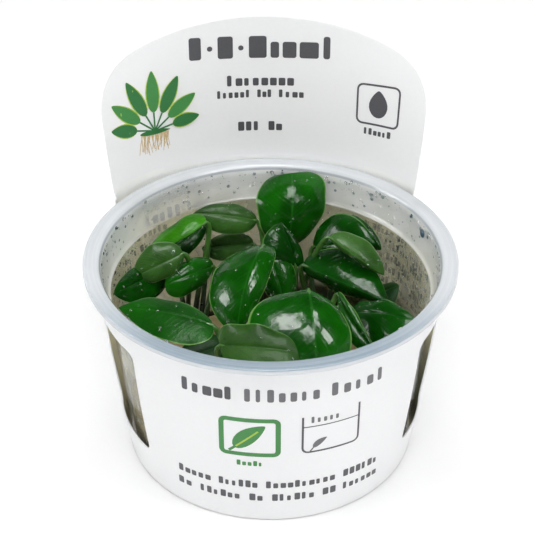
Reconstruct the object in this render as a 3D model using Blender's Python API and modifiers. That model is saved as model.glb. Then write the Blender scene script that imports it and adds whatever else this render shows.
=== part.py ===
"""Dwarf anubias growing in a clear tissue culture cup with a printed card sleeve.

Metres, +Z up. The origin is the middle of the cup's flat base, on the surface that the
cup stands on. The front of the cup faces -Y, and the card's tall back panel stands at +Y.

    cup          one turned plastic moulding, open at the top
    card_sleeve  one die-cut card wrapped round the cup, its back panel rising as a header
    growth_gel   the layer of set gel on the floor of the cup
    rhizome_N    the creeping stem of each plantlet
    leaf_NN      blade and stalk grown as one piece, one object for each leaf
    root_N       the main roots, lying on the gel beside the rhizomes
"""

from math import atan2, cos, degrees, hypot, pi, radians, sin, sqrt

import bmesh
import bpy
from mathutils import Vector

MM = 0.001

# ---------------------------------------------------------------- driving dimensions, in mm
CUP_HEIGHT = 58.5            # base to the top of the flange
FLANGE_RADIUS = 50.0
FLANGE_SKIRT = 1.5           # how far the flange's outer lip hangs down
WALL = 0.8                   # thickness of the moulding
COLLAR_TOP_RADIUS = 45.0     # inside radii of the collar, which a lid seals against
COLLAR_FOOT_RADIUS = 44.4
COLLAR_DEPTH = 9.2
LEDGE_RADIUS = 43.0          # inside radius of the wall just under the ledge
BASE_RADIUS = 39.0           # outside radius of the wall at the base
GAP = 0.3                    # air between pieces that touch on the real thing
CUP_STEPS = 48               # facets round the cup

CARD = 0.4                   # thickness of the card
CARD_RIM_RADIUS = 46.7       # outer face of the card, carried up to the rim's level
CARD_FOOT_RADIUS = 39.7      # outer face at the base
CARD_BARREL = 0.95           # how far the wrapped card bellies out of a straight cone
BAND_TOP = 2.6               # top edge of the bands, below the rim
WINDOW_TOP = 11.2            # upper and lower edges of the side windows, below the rim
WINDOW_FOOT = 45.8
WINDOW_LEFT = -50.4          # the front panel's two edges, in degrees round from the front
WINDOW_RIGHT = 57.5
WINDOW_BACK = 86.0           # the back panel's edges, in degrees either way from the front

HEADER_HALF = 47.4           # half of the header's width, along the card
HEADER_HEIGHT = 44.1         # top of the header above the rim
HEADER_ARCH = 84.4           # radius of its arched top edge
HEADER_CORNER = 18.0         # radius of its two rounded corners
HEADER_STAND = 51.0          # outer face of the card behind the flange, at the rim
HEADER_BEND_RIM = 61.0       # radius that the card is bent to at the rim
HEADER_BEND_TOP = 250.0      # and at the top, where it springs almost flat
HEADER_LEAN = 0.04           # how far the header's middle leans back, per mm of height
HEADER_SHIFT = -1.2          # the header sits a little to one side,
HEADER_TURN = 0.9            # and is turned by this many degrees
SHOULDER_END = 63.0          # degrees from the back at which the card lies on the cup again
FLARE_FADE = 1.35            # how fast the card's standing off dies away below the rim
HEADER_COLUMNS = 14          # faces across the header
HEADER_ROWS = 6              # and up it
BAND_ROWS = (51.0, 45.8, 34.0, 24.0, 11.2, 7.0)    # depths below the rim where the bands bend

GEL_TOP = 46.5               # surface of the gel, below the rim
STALK_RADIUS = 0.75
STALK_RISE = 0.45            # how far a stalk grows straight up before it bends, of its reach
STALK_TUCK = 0.12            # how far it comes up from under the blade, of its reach
STALK_STATIONS = (0.0, 0.25, 0.5, 0.75, 0.96)            # rings along a stalk
BLADE_STATIONS = (0.04, 0.15, 0.32, 0.52, 0.72, 0.9, 1.0)    # rings along a blade
BLADE_THICKNESS = 0.5
BLADE_POINT = 0.8            # how sharply a blade narrows to its tip
BLADE_END = 0.04             # least half width at heel and tip, of the widest
RING_CORNERS = 8
RHIZOME_RADIUS = 2.2
ROOT_RADIUS = 0.4
ROOT_POINTS = 7

# Plantlets: middle of each rhizome on the gel (x, y), the way it creeps, and its length.
RHIZOMES = (
    (-11.5, -17.0, 160.0, 17.0),
    (9.0, -12.5, 20.0, 16.0),
    (-21.0, 12.5, 95.0, 17.0),
    (5.0, 15.5, 55.0, 16.0),
    (-5.0, 13.0, 80.0, 13.0),
    (17.0, 10.5, 115.0, 20.0),
)

# Roots: the rhizome each leaves, how far along it from the middle, the side, the root's
# length and how many degrees it curls over that length.
ROOTS = (
    (1, -0.20, 1, 13.0, 40.0),
    (1, 0.30, -1, 11.0, -35.0),
    (2, -0.10, -1, 12.0, 50.0),
    (2, 0.32, 1, 9.0, -45.0),
    (3, -0.15, 1, 12.0, 45.0),
    (5, 0.10, 1, 9.0, 50.0),
    (4, 0.25, -1, 5.0, -40.0),
    (6, -0.25, -1, 12.0, 60.0),
)

# Leaves: heel, tip, and the two edges at the widest place, all (x, y, height from the rim),
# then how far the midrib arches, how far along it the blade is widest, and the foot of the
# stalk on its rhizome (x, y). The last six stand low between the others and fill the clump.
LEAVES = (
    ((5, 29, -17), (6, 40, 0), (-4, 34, -3), (16, 37, -2), 6.0, 0.64, (6, 20)),
    ((-5, 34, -10), (-22, 31, -7), (-13, 29, -11), (-13, 36, -6), 1.0, 0.5, (-3, 18)),
    ((-6, 32, -18), (-19, 35, -20), (-13, 31, -22), (-13, 35, -16), 1.0, 0.5, (-5, 15)),
    ((-18, 25, -6), (-34, 22, -12), (-28, 25, -11), (-25, 28, -4), 2.5, 0.45, (-22, 20)),
    ((-19, 34, -13), (-31, 25, -20), (-23, 28, -18), (-27, 32, -16), 1.0, 0.5, (-20, 19)),
    ((-26, 12, -7), (-35, 7, -10), (-29, 10, -11), (-34, 12, -4), 1.0, 0.5, (-24, 18)),
    ((-29, 18, -17), (-42, -3, -10), (-33, 5, -18), (-36, 7, -11), 1.0, 0.5, (-23, 11)),
    ((-16, 15, -15), (-29, 7, -14), (-23, 7, -17), (-24, 13, -12), 2.0, 0.62, (-20, 8)),
    ((-2, 12, -5), (-8, -8, -19), (-1, 6, -9), (-17, 8, -14), 4.0, 0.42, (-6, 11)),
    ((7, 18, -16), (3, 25, -6), (-1, 18, -11), (8, 20, -13), 1.0, 0.45, (5, 15)),
    ((-1, 18, -14), (5, 11, -23), (5, 15, -17), (-2, 14, -20), 1.0, 0.45, (2, 11)),
    ((12, 26, -15), (29, 17, -8), (20, 28, -5), (21, 20, -14), 2.0, 0.5, (13, 19)),
    ((22, 31, -8), (31, 20, -12), (28, 26, -8), (26, 29, -15), 1.0, 0.5, (16, 16)),
    ((10, 15, -11), (31, 6, -11), (25, 18, -4), (19, 13, -10), 6.0, 0.5, (8, 19)),
    ((11, 15, -15), (32, 0, -16), (25, 15, -11), (21, 8, -19), 1.5, 0.6, (13, 15)),
    ((10, -10, -5), (12, -28, -19), (21, -21, -12), (-5, -21, -9), 4.0, 0.42, (9, -12)),
    ((18, -4, -10), (27, -20, -16), (22, -11, -10), (21, -17, -16), 1.0, 0.5, (12, -12)),
    ((21, -4, -18), (38, -14, -13), (29, -5, -12), (29, -16, -18), 2.0, 0.5, (15, -10)),
    ((-15, -24, -9), (-40, -13, -8), (-26, -26, -11), (-27, -12, -5), 3.0, 0.5, (-10, -18)),
    ((-13, -30, -9), (7, -32, -9), (-6, -25, -5), (-4, -37, -12), 1.0, 0.42, (-6, -19)),
    ((-12, -8, -24), (-27, -14, -27), (-18, -16, -28), (-20, -6, -23), 1.0, 0.5, (-14, -16)),
    ((6, 2, -24), (19, 0, -29), (13, 6, -26), (12, -5, -28), 1.0, 0.5, (5, -14)),
    ((31, -12, -37), (38, -10, -21), (34, -19, -28), (39, -2, -29), -1.0, 0.5, (22, 2)),
    ((-31, -15, -38), (-39, -12, -22), (-39, -3, -29), (-33, -21, -29), -1.0, 0.5, (-18, -15)),
    ((-2, 0, -24), (-1, -14, -29), (5, -6, -27), (-8, -7, -28), 2.0, 0.5, (-6, 8)),
    ((24, 16, -30), (36, 14, -20), (31, 22, -26), (31, 8, -27), 1.0, 0.5, (17, 11)),
)


# ---------------------------------------------------------------- scene and materials
def clear_scene():
    for obj in list(bpy.data.objects):
        bpy.data.objects.remove(obj, do_unlink=True)


def new_collection(name):
    collection = bpy.data.collections.new(name)
    bpy.context.scene.collection.children.link(collection)
    return collection


def new_material(name, colour, roughness, transmission=0.0):
    material = bpy.data.materials.new(name)
    material.use_nodes = True
    shader = material.node_tree.nodes["Principled BSDF"]
    shader.inputs["Base Color"].default_value = (*colour, 1.0)
    shader.inputs["Roughness"].default_value = roughness
    shader.inputs["Metallic"].default_value = 0.0
    shader.inputs["Transmission Weight"].default_value = transmission
    return material


def add_object(name, data, material, collection):
    obj = bpy.data.objects.new(name, data)
    data.materials.append(material)
    collection.objects.link(obj)
    return obj


def mesh_from(bm, name):
    """Turn a bmesh drawn in millimetres into a smooth-shaded mesh in metres."""
    bmesh.ops.scale(bm, vec=(MM, MM, MM), verts=bm.verts)
    mesh = bpy.data.meshes.new(name)
    bm.to_mesh(mesh)
    bm.free()
    mesh.shade_smooth()
    mesh.set_sharp_from_angle(angle=radians(40))
    return mesh


def from_rim(x, y, below):
    """A point given by its height from the rim, as a vector in mm from the base."""
    return Vector((x, y, CUP_HEIGHT + below))


# ---------------------------------------------------------------- turned pieces
def turned(name, profile, material, collection):
    """Screw a profile of (radius, height) in mm, both ends on the axis, round Z."""
    mesh = bpy.data.meshes.new(name)
    corners = [(radius * MM, 0.0, height * MM) for radius, height in profile]
    mesh.from_pydata(corners, [(i, i + 1) for i in range(len(corners) - 1)], [])
    obj = add_object(name, mesh, material, collection)
    screw = obj.modifiers.new("Screw", "SCREW")
    screw.steps = screw.render_steps = CUP_STEPS
    screw.use_merge_vertices = True
    screw.merge_threshold = 0.00001
    screw.use_smooth_shade = True
    return obj


def inner_wall_radius(height):
    """Inside radius of the cup's wall between the floor and the ledge."""
    ledge_height = CUP_HEIGHT - COLLAR_DEPTH
    slope = (LEDGE_RADIUS + WALL - BASE_RADIUS) / ledge_height
    return BASE_RADIUS - WALL + slope * height


def make_cup(material, collection):
    top = CUP_HEIGHT
    ledge = top - COLLAR_DEPTH
    inside = [
        (0.0, WALL),
        (inner_wall_radius(WALL) - 1.2, WALL),
        (inner_wall_radius(2.0), 2.0),
        (LEDGE_RADIUS - 0.05, ledge - 0.5),
        (LEDGE_RADIUS + 0.35, ledge),
        (COLLAR_FOOT_RADIUS, ledge + 0.1),
        (COLLAR_TOP_RADIUS, top - 3.0),
        (COLLAR_TOP_RADIUS + 0.7, top - 0.7),
        (COLLAR_TOP_RADIUS + 1.2, top - 0.1),
        (COLLAR_TOP_RADIUS + 1.6, top),
    ]
    outside = [
        (FLANGE_RADIUS - 0.4, top),
        (FLANGE_RADIUS - 0.05, top - 0.35),
        (FLANGE_RADIUS - 0.05, top - FLANGE_SKIRT),
        (FLANGE_RADIUS - WALL, top - FLANGE_SKIRT),
        (FLANGE_RADIUS - WALL, top - WALL),
        (COLLAR_TOP_RADIUS + WALL, top - WALL - 0.2),
        (COLLAR_TOP_RADIUS + WALL - 0.1, top - 3.0),
        (COLLAR_FOOT_RADIUS + WALL - 0.1, ledge - 0.5),
        (LEDGE_RADIUS + WALL, ledge - 1.2),
        (inner_wall_radius(1.2) + WALL, 1.2),
        (BASE_RADIUS - 1.2, 0.0),
        (0.0, 0.0),
    ]
    return turned("cup", inside + outside, material, collection)


def make_gel(material, collection):
    """Gel poured on the floor, with a small meniscus climbing the wall."""
    surface = CUP_HEIGHT - GEL_TOP
    foot = WALL + GAP
    profile = [
        (0.0, surface),
        (inner_wall_radius(surface) - 3.0, surface),
        (inner_wall_radius(surface) - GAP, surface + 0.6),
        (inner_wall_radius(2.5) - GAP, 2.5),
        (inner_wall_radius(foot) - 1.8, foot),
        (0.0, foot),
    ]
    return turned("growth_gel", profile, material, collection)


# ---------------------------------------------------------------- the card sleeve
def card_radius(below):
    """Outer face of the card where it follows the cup, at a height from the rim."""
    down = -below / CUP_HEIGHT
    cone = CARD_RIM_RADIUS + (CARD_FOOT_RADIUS - CARD_RIM_RADIUS) * down
    return cone + 4.0 * CARD_BARREL * down * (1.0 - down)


def header_point(along, above):
    """Outer face of the header, from the middle along the card and above the rim."""
    up = above / HEADER_HEIGHT
    bend = (1.0 - up) / HEADER_BEND_RIM + up / HEADER_BEND_TOP
    x = sin(along * bend) / bend
    y = HEADER_STAND + HEADER_LEAN * above - (1.0 - cos(along * bend)) / bend
    turn = radians(HEADER_TURN)
    return Vector((
        x * cos(turn) - y * sin(turn) + HEADER_SHIFT,
        x * sin(turn) + y * cos(turn),
        CUP_HEIGHT + above,
    ))


def header_edge(along):
    """Height above the rim of the header's arched and round-cornered outline."""
    reach = HEADER_ARCH - HEADER_CORNER
    corner_middle = HEADER_HALF - HEADER_CORNER
    arch_middle = HEADER_HEIGHT - HEADER_ARCH
    corner_height = arch_middle + sqrt(reach ** 2 - corner_middle ** 2)
    along = abs(along)
    if along < corner_middle * HEADER_ARCH / reach:
        return arch_middle + sqrt(HEADER_ARCH ** 2 - along ** 2)
    inset = min(along - corner_middle, HEADER_CORNER)
    return corner_height + sqrt(HEADER_CORNER ** 2 - inset ** 2)


def spread(start, end, count):
    """Values from start towards end in equal steps, without the end itself."""
    return [start + (end - start) * i / count for i in range(count)]


def card_columns():
    """Columns of the card's grid from front seam to front seam: (degrees, flare, along).

    Degrees run round from the back, positive to the right. Flare is how far the card
    stands off the cup at the rim, and along is the place on the header, or None.
    """
    header = []
    for i in range(HEADER_COLUMNS + 1):
        along = HEADER_HALF * sin(0.5 * pi * (2.0 * i / HEADER_COLUMNS - 1.0))
        foot = header_point(along, 0.0)
        angle = degrees(atan2(foot.x, foot.y))
        header.append((angle, hypot(foot.x, foot.y) - card_radius(0.0), along))
    left, right = header[0], header[-1]
    back_edge = 180.0 - WINDOW_BACK

    def plain(angles):
        columns = []
        for angle in angles:
            end = left if angle < 0.0 else right
            past = (abs(angle) - abs(end[0])) / (SHOULDER_END - abs(end[0]))
            past = min(max(past, 0.0), 1.0)
            fade = 1.0 - past * past * (3.0 - 2.0 * past)
            columns.append((angle, end[1] * fade, None))
        return columns

    window_left = -180.0 - WINDOW_LEFT
    window_right = 180.0 - WINDOW_RIGHT
    before = spread(-180.0, window_left, 7) + spread(window_left, -back_edge, 5)
    before += spread(-back_edge, left[0], 3)
    after = spread(right[0], back_edge, 3)[1:] + spread(back_edge, window_right, 5)
    after += spread(window_right, 180.0, 6) + [180.0]
    return plain(before) + header + plain(after)


def card_point(column, below):
    """Outer face of the card at a column of the grid, at a height from the rim."""
    angle, flare, along = column
    if below > 0.0:
        return header_point(along, below)
    rise = max(0.0, 1.0 + below / WINDOW_FOOT) ** FLARE_FADE
    radius = card_radius(below) + flare * rise
    turn = radians(angle)
    return from_rim(radius * sin(turn), radius * cos(turn), below)


def in_window(angle, below):
    front = 180.0 - WINDOW_RIGHT if angle > 0.0 else 180.0 + WINDOW_LEFT
    return 180.0 - WINDOW_BACK < abs(angle) < front and -WINDOW_FOOT < below < -WINDOW_TOP


def make_sleeve(material, collection):
    """A grid bent round the cup, its windows and the card beside the header cut away."""
    columns = card_columns()
    band_rows = [GAP - CUP_HEIGHT] + [-depth for depth in BAND_ROWS] + [-BAND_TOP]
    last_band = len(band_rows) - 1
    bm = bmesh.new()
    wide, high = len(columns) - 1, last_band + HEADER_ROWS
    bmesh.ops.create_grid(bm, x_segments=wide, y_segments=high, size=0.5)
    place = {v: (round((v.co.x + 0.5) * wide), round((v.co.y + 0.5) * high)) for v in bm.verts}

    waste = []
    for face in bm.faces:
        column = min(place[v][0] for v in face.verts)
        row = min(place[v][1] for v in face.verts)
        if row >= last_band:
            if columns[column][2] is None or columns[column + 1][2] is None:
                waste.append(face)
        else:
            angle = 0.5 * (columns[column][0] + columns[column + 1][0])
            if in_window(angle, 0.5 * (band_rows[row] + band_rows[row + 1])):
                waste.append(face)
    bmesh.ops.delete(bm, geom=waste, context="FACES")

    for v in bm.verts:
        column, row = columns[place[v][0]], place[v][1]
        if row <= last_band:
            below = band_rows[row]
        else:
            top = header_edge(column[2])
            below = -BAND_TOP + (top + BAND_TOP) * (row - last_band) / HEADER_ROWS
        v.co = card_point(column, below)
    bmesh.ops.remove_doubles(bm, verts=bm.verts, dist=0.01)
    bmesh.ops.recalc_face_normals(bm, faces=bm.faces)
    obj = add_object("card_sleeve", mesh_from(bm, "card_sleeve"), material, collection)
    solidify = obj.modifiers.new("Solidify", "SOLIDIFY")
    solidify.thickness = CARD * MM
    solidify.offset = -1.0
    return obj


# ---------------------------------------------------------------- the plants
def make_rhizome(name, spec, material, collection):
    """A knobbly creeping stem: a tube whose radius swells at each leaf scar."""
    x, y, heading, length = spec
    curve = bpy.data.curves.new(name, "CURVE")
    curve.dimensions = "3D"
    curve.bevel_depth = RHIZOME_RADIUS * MM
    curve.bevel_resolution = 2
    curve.use_fill_caps = True
    spline = curve.splines.new("POLY")
    count = 7
    spline.points.add(count - 1)
    height = CUP_HEIGHT - GEL_TOP + GAP + RHIZOME_RADIUS
    for i, point in enumerate(spline.points):
        t = i / (count - 1) - 0.5
        px = x + length * t * cos(radians(heading))
        py = y + length * t * sin(radians(heading))
        point.co = (px * MM, py * MM, height * MM, 1.0)
        point.radius = 0.62 if i in (0, count - 1) else 0.86 + 0.14 * (i % 2)
    return add_object(name, curve, material, collection)


def make_root(name, spec, material, collection):
    """A thin curling tube that leaves its rhizome sideways and lies along the gel."""
    rhizome, place, side, length, curl = spec
    x, y, heading, rhizome_length = RHIZOMES[rhizome - 1]
    heading = radians(heading)
    clear = RHIZOME_RADIUS + GAP + ROOT_RADIUS
    x += rhizome_length * place * cos(heading) - side * clear * sin(heading)
    y += rhizome_length * place * sin(heading) + side * clear * cos(heading)
    heading += side * 0.5 * pi
    curve = bpy.data.curves.new(name, "CURVE")
    curve.dimensions = "3D"
    curve.bevel_depth = ROOT_RADIUS * MM
    curve.bevel_resolution = 0
    curve.use_fill_caps = True
    spline = curve.splines.new("POLY")
    spline.points.add(ROOT_POINTS - 1)
    floor = CUP_HEIGHT - GEL_TOP + GAP + ROOT_RADIUS
    step = length / (ROOT_POINTS - 1)
    for i, point in enumerate(spline.points):
        t = i / (ROOT_POINTS - 1)
        height = floor + 1.4 * (1.0 - t) ** 2
        point.co = (x * MM, y * MM, height * MM, 1.0)
        point.radius = 1.0 - 0.45 * t
        x += step * cos(heading)
        y += step * sin(heading)
        heading += radians(curl) / (ROOT_POINTS - 1)
    return add_object(name, curve, material, collection)


def blade_width(s, widest):
    """Half width of a blade along its midrib, 1 at the widest place."""
    if s < widest:
        return sqrt(max(0.0, 1.0 - ((widest - s) / widest) ** 2))
    return max(0.0, 1.0 - ((s - widest) / (1.0 - widest)) ** 2) ** BLADE_POINT


def make_leaf(name, spec, material, collection):
    """A ring of corners extruded up the stalk, then spread out along the blade."""
    heel, tip = from_rim(*spec[0]), from_rim(*spec[1])
    left, right = from_rim(*spec[2]), from_rim(*spec[3])
    arch, widest, foot_xy = spec[4:7]
    foot = from_rim(*foot_xy, -GEL_TOP + GAP + 2.0 * RHIZOME_RADIUS + GAP + STALK_RADIUS)
    span = tip - heel
    side = (right - left) - span * ((right - left).dot(span) / span.length_squared)
    side.normalize()
    up = side.cross(span.normalized())

    def midrib(s):
        return heel + span * s + up * (4.0 * arch * s * (1.0 - s))

    to_left = left - midrib(widest)
    to_right = right - midrib(widest)
    over_left = span.cross(to_left).normalized()
    over_right = to_right.cross(span).normalized()
    half_left, half_right = (0.5 * BLADE_THICKNESS * n for n in (over_left, over_right))
    half = 0.5 * BLADE_THICKNESS * (over_left + over_right).normalized()

    def blade_ring(s):
        width = max(blade_width(s, widest), BLADE_END)
        middle = midrib(s)
        outer_left, outer_right = middle + to_left * width, middle + to_right * width
        inner_left, inner_right = middle + to_left * width * 0.5, middle + to_right * width * 0.5
        return [
            outer_left, inner_left + half_left, middle + half, inner_right + half_right,
            outer_right, inner_right - half_right, middle - half, inner_left - half_left,
        ]

    start = (midrib(0.02) - midrib(0.0)).normalized()
    reach = (heel - foot).length
    rise, under = Vector((0, 0, STALK_RISE * reach)), Vector((0, 0, STALK_TUCK * reach))
    pull = (foot, foot + rise, heel - start * STALK_TUCK * reach - under, heel)

    def stalk(t):
        a, b, c, d = pull
        return a * (1 - t) ** 3 + b * 3 * t * (1 - t) ** 2 + c * 3 * t * t * (1 - t) + d * t ** 3

    rings = []
    forward, across, normal = start, side.copy(), side.cross(start)
    for t in reversed(STALK_STATIONS):
        ahead = (stalk(min(t + 0.02, 1.0)) - stalk(t - 0.02 if t > 0.02 else 0.0)).normalized()
        turn = forward.rotation_difference(ahead)
        across, normal, forward = turn @ across, turn @ normal, ahead
        centre = stalk(t)
        ring = []
        for i in range(RING_CORNERS):
            angle = pi - i * 2.0 * pi / RING_CORNERS
            ring.append(centre + STALK_RADIUS * (across * cos(angle) + normal * sin(angle)))
        rings.append(ring)
    rings.reverse()
    rings += [blade_ring(s) for s in BLADE_STATIONS]

    bm = bmesh.new()
    loop = [bm.verts.new(point) for point in rings[0]]
    face = bm.faces.new(loop)
    for ring in rings[1:]:
        result = bmesh.ops.extrude_discrete_faces(bm, faces=[face])
        face = result["faces"][0]
        for v, point in zip(face.verts, ring):
            v.co = point
    bm.faces.new(reversed(loop))
    bmesh.ops.recalc_face_normals(bm, faces=bm.faces)
    return add_object(name, mesh_from(bm, name), material, collection)


# ---------------------------------------------------------------- build
def main():
    clear_scene()
    parts = new_collection("anubias_in_culture_cup")
    plastic = new_material("clear_plastic", (0.93, 0.95, 0.96), 0.12, transmission=0.9)
    card = new_material("white_card", (0.88, 0.88, 0.87), 0.45)
    gel = new_material("growing_gel", (0.72, 0.62, 0.42), 0.2, transmission=0.5)
    stem = new_material("rhizome_green", (0.16, 0.24, 0.06), 0.4)
    blade = new_material("leaf_green", (0.02, 0.16, 0.02), 0.2)
    root = new_material("root_tan", (0.62, 0.52, 0.34), 0.5)
    make_cup(plastic, parts)
    make_sleeve(card, parts)
    make_gel(gel, parts)
    for number, spec in enumerate(RHIZOMES, 1):
        make_rhizome(f"rhizome_{number}", spec, stem, parts)
    for number, spec in enumerate(LEAVES, 1):
        make_leaf(f"leaf_{number:02d}", spec, blade, parts)
    for number, spec in enumerate(ROOTS, 1):
        make_root(f"root_{number}", spec, root, parts)


main()
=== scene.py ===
# %% [markdown]
# # Dwarf anubias in a tissue culture cup
#
# Young anubias plantlets are sold in a clear plastic cup with a layer of set gel. A white
# card is wrapped round the cup: it has two side windows, and its back panel rises behind
# the rim as a header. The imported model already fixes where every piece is. This notebook
# gives each piece its finish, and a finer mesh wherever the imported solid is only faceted.
#
# Everything is drawn in millimetres and turned into metres when a piece is finished.

# %% Load the frame
import random
from math import atan2, cos, degrees, exp, hypot, pi, radians, sin, sqrt

import bmesh
import bpy
from mathutils import Matrix, Vector


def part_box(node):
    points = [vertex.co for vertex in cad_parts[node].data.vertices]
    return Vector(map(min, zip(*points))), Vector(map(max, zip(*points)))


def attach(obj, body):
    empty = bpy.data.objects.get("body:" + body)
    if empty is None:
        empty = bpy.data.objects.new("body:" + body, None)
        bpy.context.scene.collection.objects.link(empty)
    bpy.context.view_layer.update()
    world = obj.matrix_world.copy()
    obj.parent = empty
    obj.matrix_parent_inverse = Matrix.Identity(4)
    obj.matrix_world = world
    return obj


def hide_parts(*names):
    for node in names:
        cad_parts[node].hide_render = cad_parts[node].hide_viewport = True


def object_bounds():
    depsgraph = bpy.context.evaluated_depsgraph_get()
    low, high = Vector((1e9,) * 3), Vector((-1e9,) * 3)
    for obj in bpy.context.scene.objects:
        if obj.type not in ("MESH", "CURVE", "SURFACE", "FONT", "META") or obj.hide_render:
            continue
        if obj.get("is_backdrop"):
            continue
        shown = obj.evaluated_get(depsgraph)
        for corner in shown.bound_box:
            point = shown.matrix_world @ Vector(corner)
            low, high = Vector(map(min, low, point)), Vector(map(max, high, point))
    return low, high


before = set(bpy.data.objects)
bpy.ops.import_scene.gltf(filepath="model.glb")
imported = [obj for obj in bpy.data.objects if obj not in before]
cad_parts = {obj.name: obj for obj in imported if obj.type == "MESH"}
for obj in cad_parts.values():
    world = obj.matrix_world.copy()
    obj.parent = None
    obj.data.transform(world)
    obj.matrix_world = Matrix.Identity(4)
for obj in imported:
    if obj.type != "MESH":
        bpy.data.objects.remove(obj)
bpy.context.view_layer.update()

MM = 0.001

# %% [markdown]
# ## The camera, the floor and the lights
#
# The cup is seen from the front and a little above, through a long lens, so that its
# sides hardly converge. The floor is one large pale sheet. Wet leaves are mirrors for
# whatever is above them, so the work is shared out between two kinds of soft box. Large
# ones light everything evenly and leave no reflection. Small ones show only in the gloss:
# a leaf that reflects one turns white there and stays deep green elsewhere.

# %% Camera
scene = bpy.context.scene
scene.view_settings.view_transform = "Standard"
ELEVATION = radians(34.27)
DISTANCE = 0.45
LENS, SENSOR = 114.03, 36.0
SHIFT = (-0.00775, -0.0223)
RIM_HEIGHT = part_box("cup")[1].z

camera_data = bpy.data.cameras.new("camera")
camera_data.lens = LENS
camera_data.sensor_width = SENSOR
camera_data.shift_x, camera_data.shift_y = SHIFT
camera = bpy.data.objects.new("camera", camera_data)
camera.location = (0.0, -DISTANCE * cos(ELEVATION), RIM_HEIGHT + DISTANCE * sin(ELEVATION))
camera.rotation_euler = (0.5 * pi - ELEVATION, 0.0, 0.0)
scene.collection.objects.link(camera)
scene.camera = camera
print("camera", [round(c, 3) for c in camera.location])


# %% [markdown]
# ## Shader maths written as Python
#
# A finish is a tree of nodes. Wiring it by hand hides what it works out, so `Wire` wraps
# one socket and lets Python's operators add the Math nodes, and `Finish.node` adds any
# other node from its type, its settings and the values of its sockets.

# %% Wire and Finish
class Wire:
    """A socket that can be used in a Python expression."""

    def __init__(self, finish, socket):
        self.finish = finish
        self.socket = socket

    def maths(self, operation, first, second=0.0):
        sockets = {0: first, 1: second}
        return self.finish.node("ShaderNodeMath", {"operation": operation}, sockets)

    def __add__(self, other):
        return self.maths("ADD", self, other)

    def __radd__(self, other):
        return self.maths("ADD", other, self)

    def __sub__(self, other):
        return self.maths("SUBTRACT", self, other)

    def __rsub__(self, other):
        return self.maths("SUBTRACT", other, self)

    def __mul__(self, other):
        return self.maths("MULTIPLY", self, other)

    def __rmul__(self, other):
        return self.maths("MULTIPLY", other, self)

    def __pow__(self, other):
        return self.maths("POWER", self, other)

    def __abs__(self):
        return self.maths("ABSOLUTE", self)

    def sine(self):
        return self.maths("SINE", self)


class Finish:
    """A material with one Principled shader, and the nodes that feed it."""

    def __init__(self, name, constants):
        self.material = bpy.data.materials.new(name)
        self.material.use_nodes = True
        self.tree = self.material.node_tree
        self.shader = self.tree.nodes["Principled BSDF"]
        for socket, value in constants.items():
            self.feed(self.shader.inputs[socket], value)

    def feed(self, socket, value):
        """Links a wire to a socket, or sets the socket's own value."""
        if isinstance(value, Wire):
            self.tree.links.new(value.socket, socket)
        elif socket.type == "RGBA" and len(value) == 3:
            socket.default_value = (*value, 1.0)
        else:
            socket.default_value = value

    def node(self, kind, settings=None, sockets=None, output=0):
        """Adds a node: its settings are made first, and then its sockets are fed."""
        made = self.tree.nodes.new(kind)
        for key, value in (settings or {}).items():
            setattr(made, key, value)
        for key, value in (sockets or {}).items():
            self.feed(made.inputs[key], value)
        return Wire(self, made.outputs[output])

    def place(self):
        """Object coordinates, in metres."""
        return self.node("ShaderNodeTexCoord", output="Object")

    def axis(self, vector, name):
        """One of X, Y and Z of a vector."""
        return self.node("ShaderNodeSeparateXYZ", None, {0: vector}, name)

    def noise(self, scale, detail=2.0, vector=None):
        """Cloudy noise from 0 to 1, with about scale clouds to the metre."""
        sockets = {"Scale": scale, "Detail": detail, "Vector": vector or self.place()}
        return self.node("ShaderNodeTexNoise", None, sockets, "Fac")

    def steps(self, value, low, high):
        """0 below low, 1 above high, and a smooth rise between."""
        settings = {"interpolation_type": "SMOOTHSTEP"}
        return self.node("ShaderNodeMapRange", settings, {0: value, 1: low, 2: high})

    def mix(self, factor, first, second):
        """A mix of two colours."""
        return self.node("ShaderNodeMix", {"data_type": "RGBA"}, {0: factor, 6: first, 7: second}, 2)

    def bump(self, height, strength, distance):
        """Feeds the shader's normal with a relief. Distance is in metres."""
        sockets = {"Height": height, "Strength": strength, "Distance": distance}
        normal = self.node("ShaderNodeBump", None, sockets)
        self.feed(self.shader.inputs["Normal"], normal)

    def show(self, socket, value):
        """Feeds one of the shader's sockets."""
        self.feed(self.shader.inputs[socket], value)


# %% Floor
floor_finish = Finish("pale_floor", {"Roughness": 0.9, "Specular IOR Level": 0.0})
floor_finish.show("Base Color", floor_finish.mix(
    floor_finish.noise(3.0), (0.95, 0.95, 0.95), (0.97, 0.97, 0.97)))
FLOOR_HALF = 4.0
floor_mesh = bpy.data.meshes.new("floor")
bm = bmesh.new()
bmesh.ops.create_grid(bm, x_segments=4, y_segments=4, size=FLOOR_HALF)
bm.to_mesh(floor_mesh)
bm.free()
floor = bpy.data.objects.new("floor", floor_mesh)
floor_mesh.materials.append(floor_finish.material)
scene.collection.objects.link(floor)
floor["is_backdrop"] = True
print("floor", 2.0 * FLOOR_HALF, "m square")


# %% Lights
def soft_box(name, place, size, power, seen=True, lights=True, aim=(0.0, 0.0, 0.05)):
    """An area light at a place in metres, turned towards the cup.

    A box that isn't seen leaves no reflection, and one that doesn't light gives only that.
    """
    data = bpy.data.lights.new(name, "AREA")
    data.shape = "RECTANGLE"
    data.size, data.size_y = size
    data.energy = power
    light = bpy.data.objects.new(name, data)
    light.location = place
    towards = Vector(aim) - Vector(place)
    light.rotation_euler = towards.to_track_quat("-Z", "Y").to_euler()
    light.visible_glossy = seen
    light.visible_diffuse = lights
    scene.collection.objects.link(light)
    return light


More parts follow.
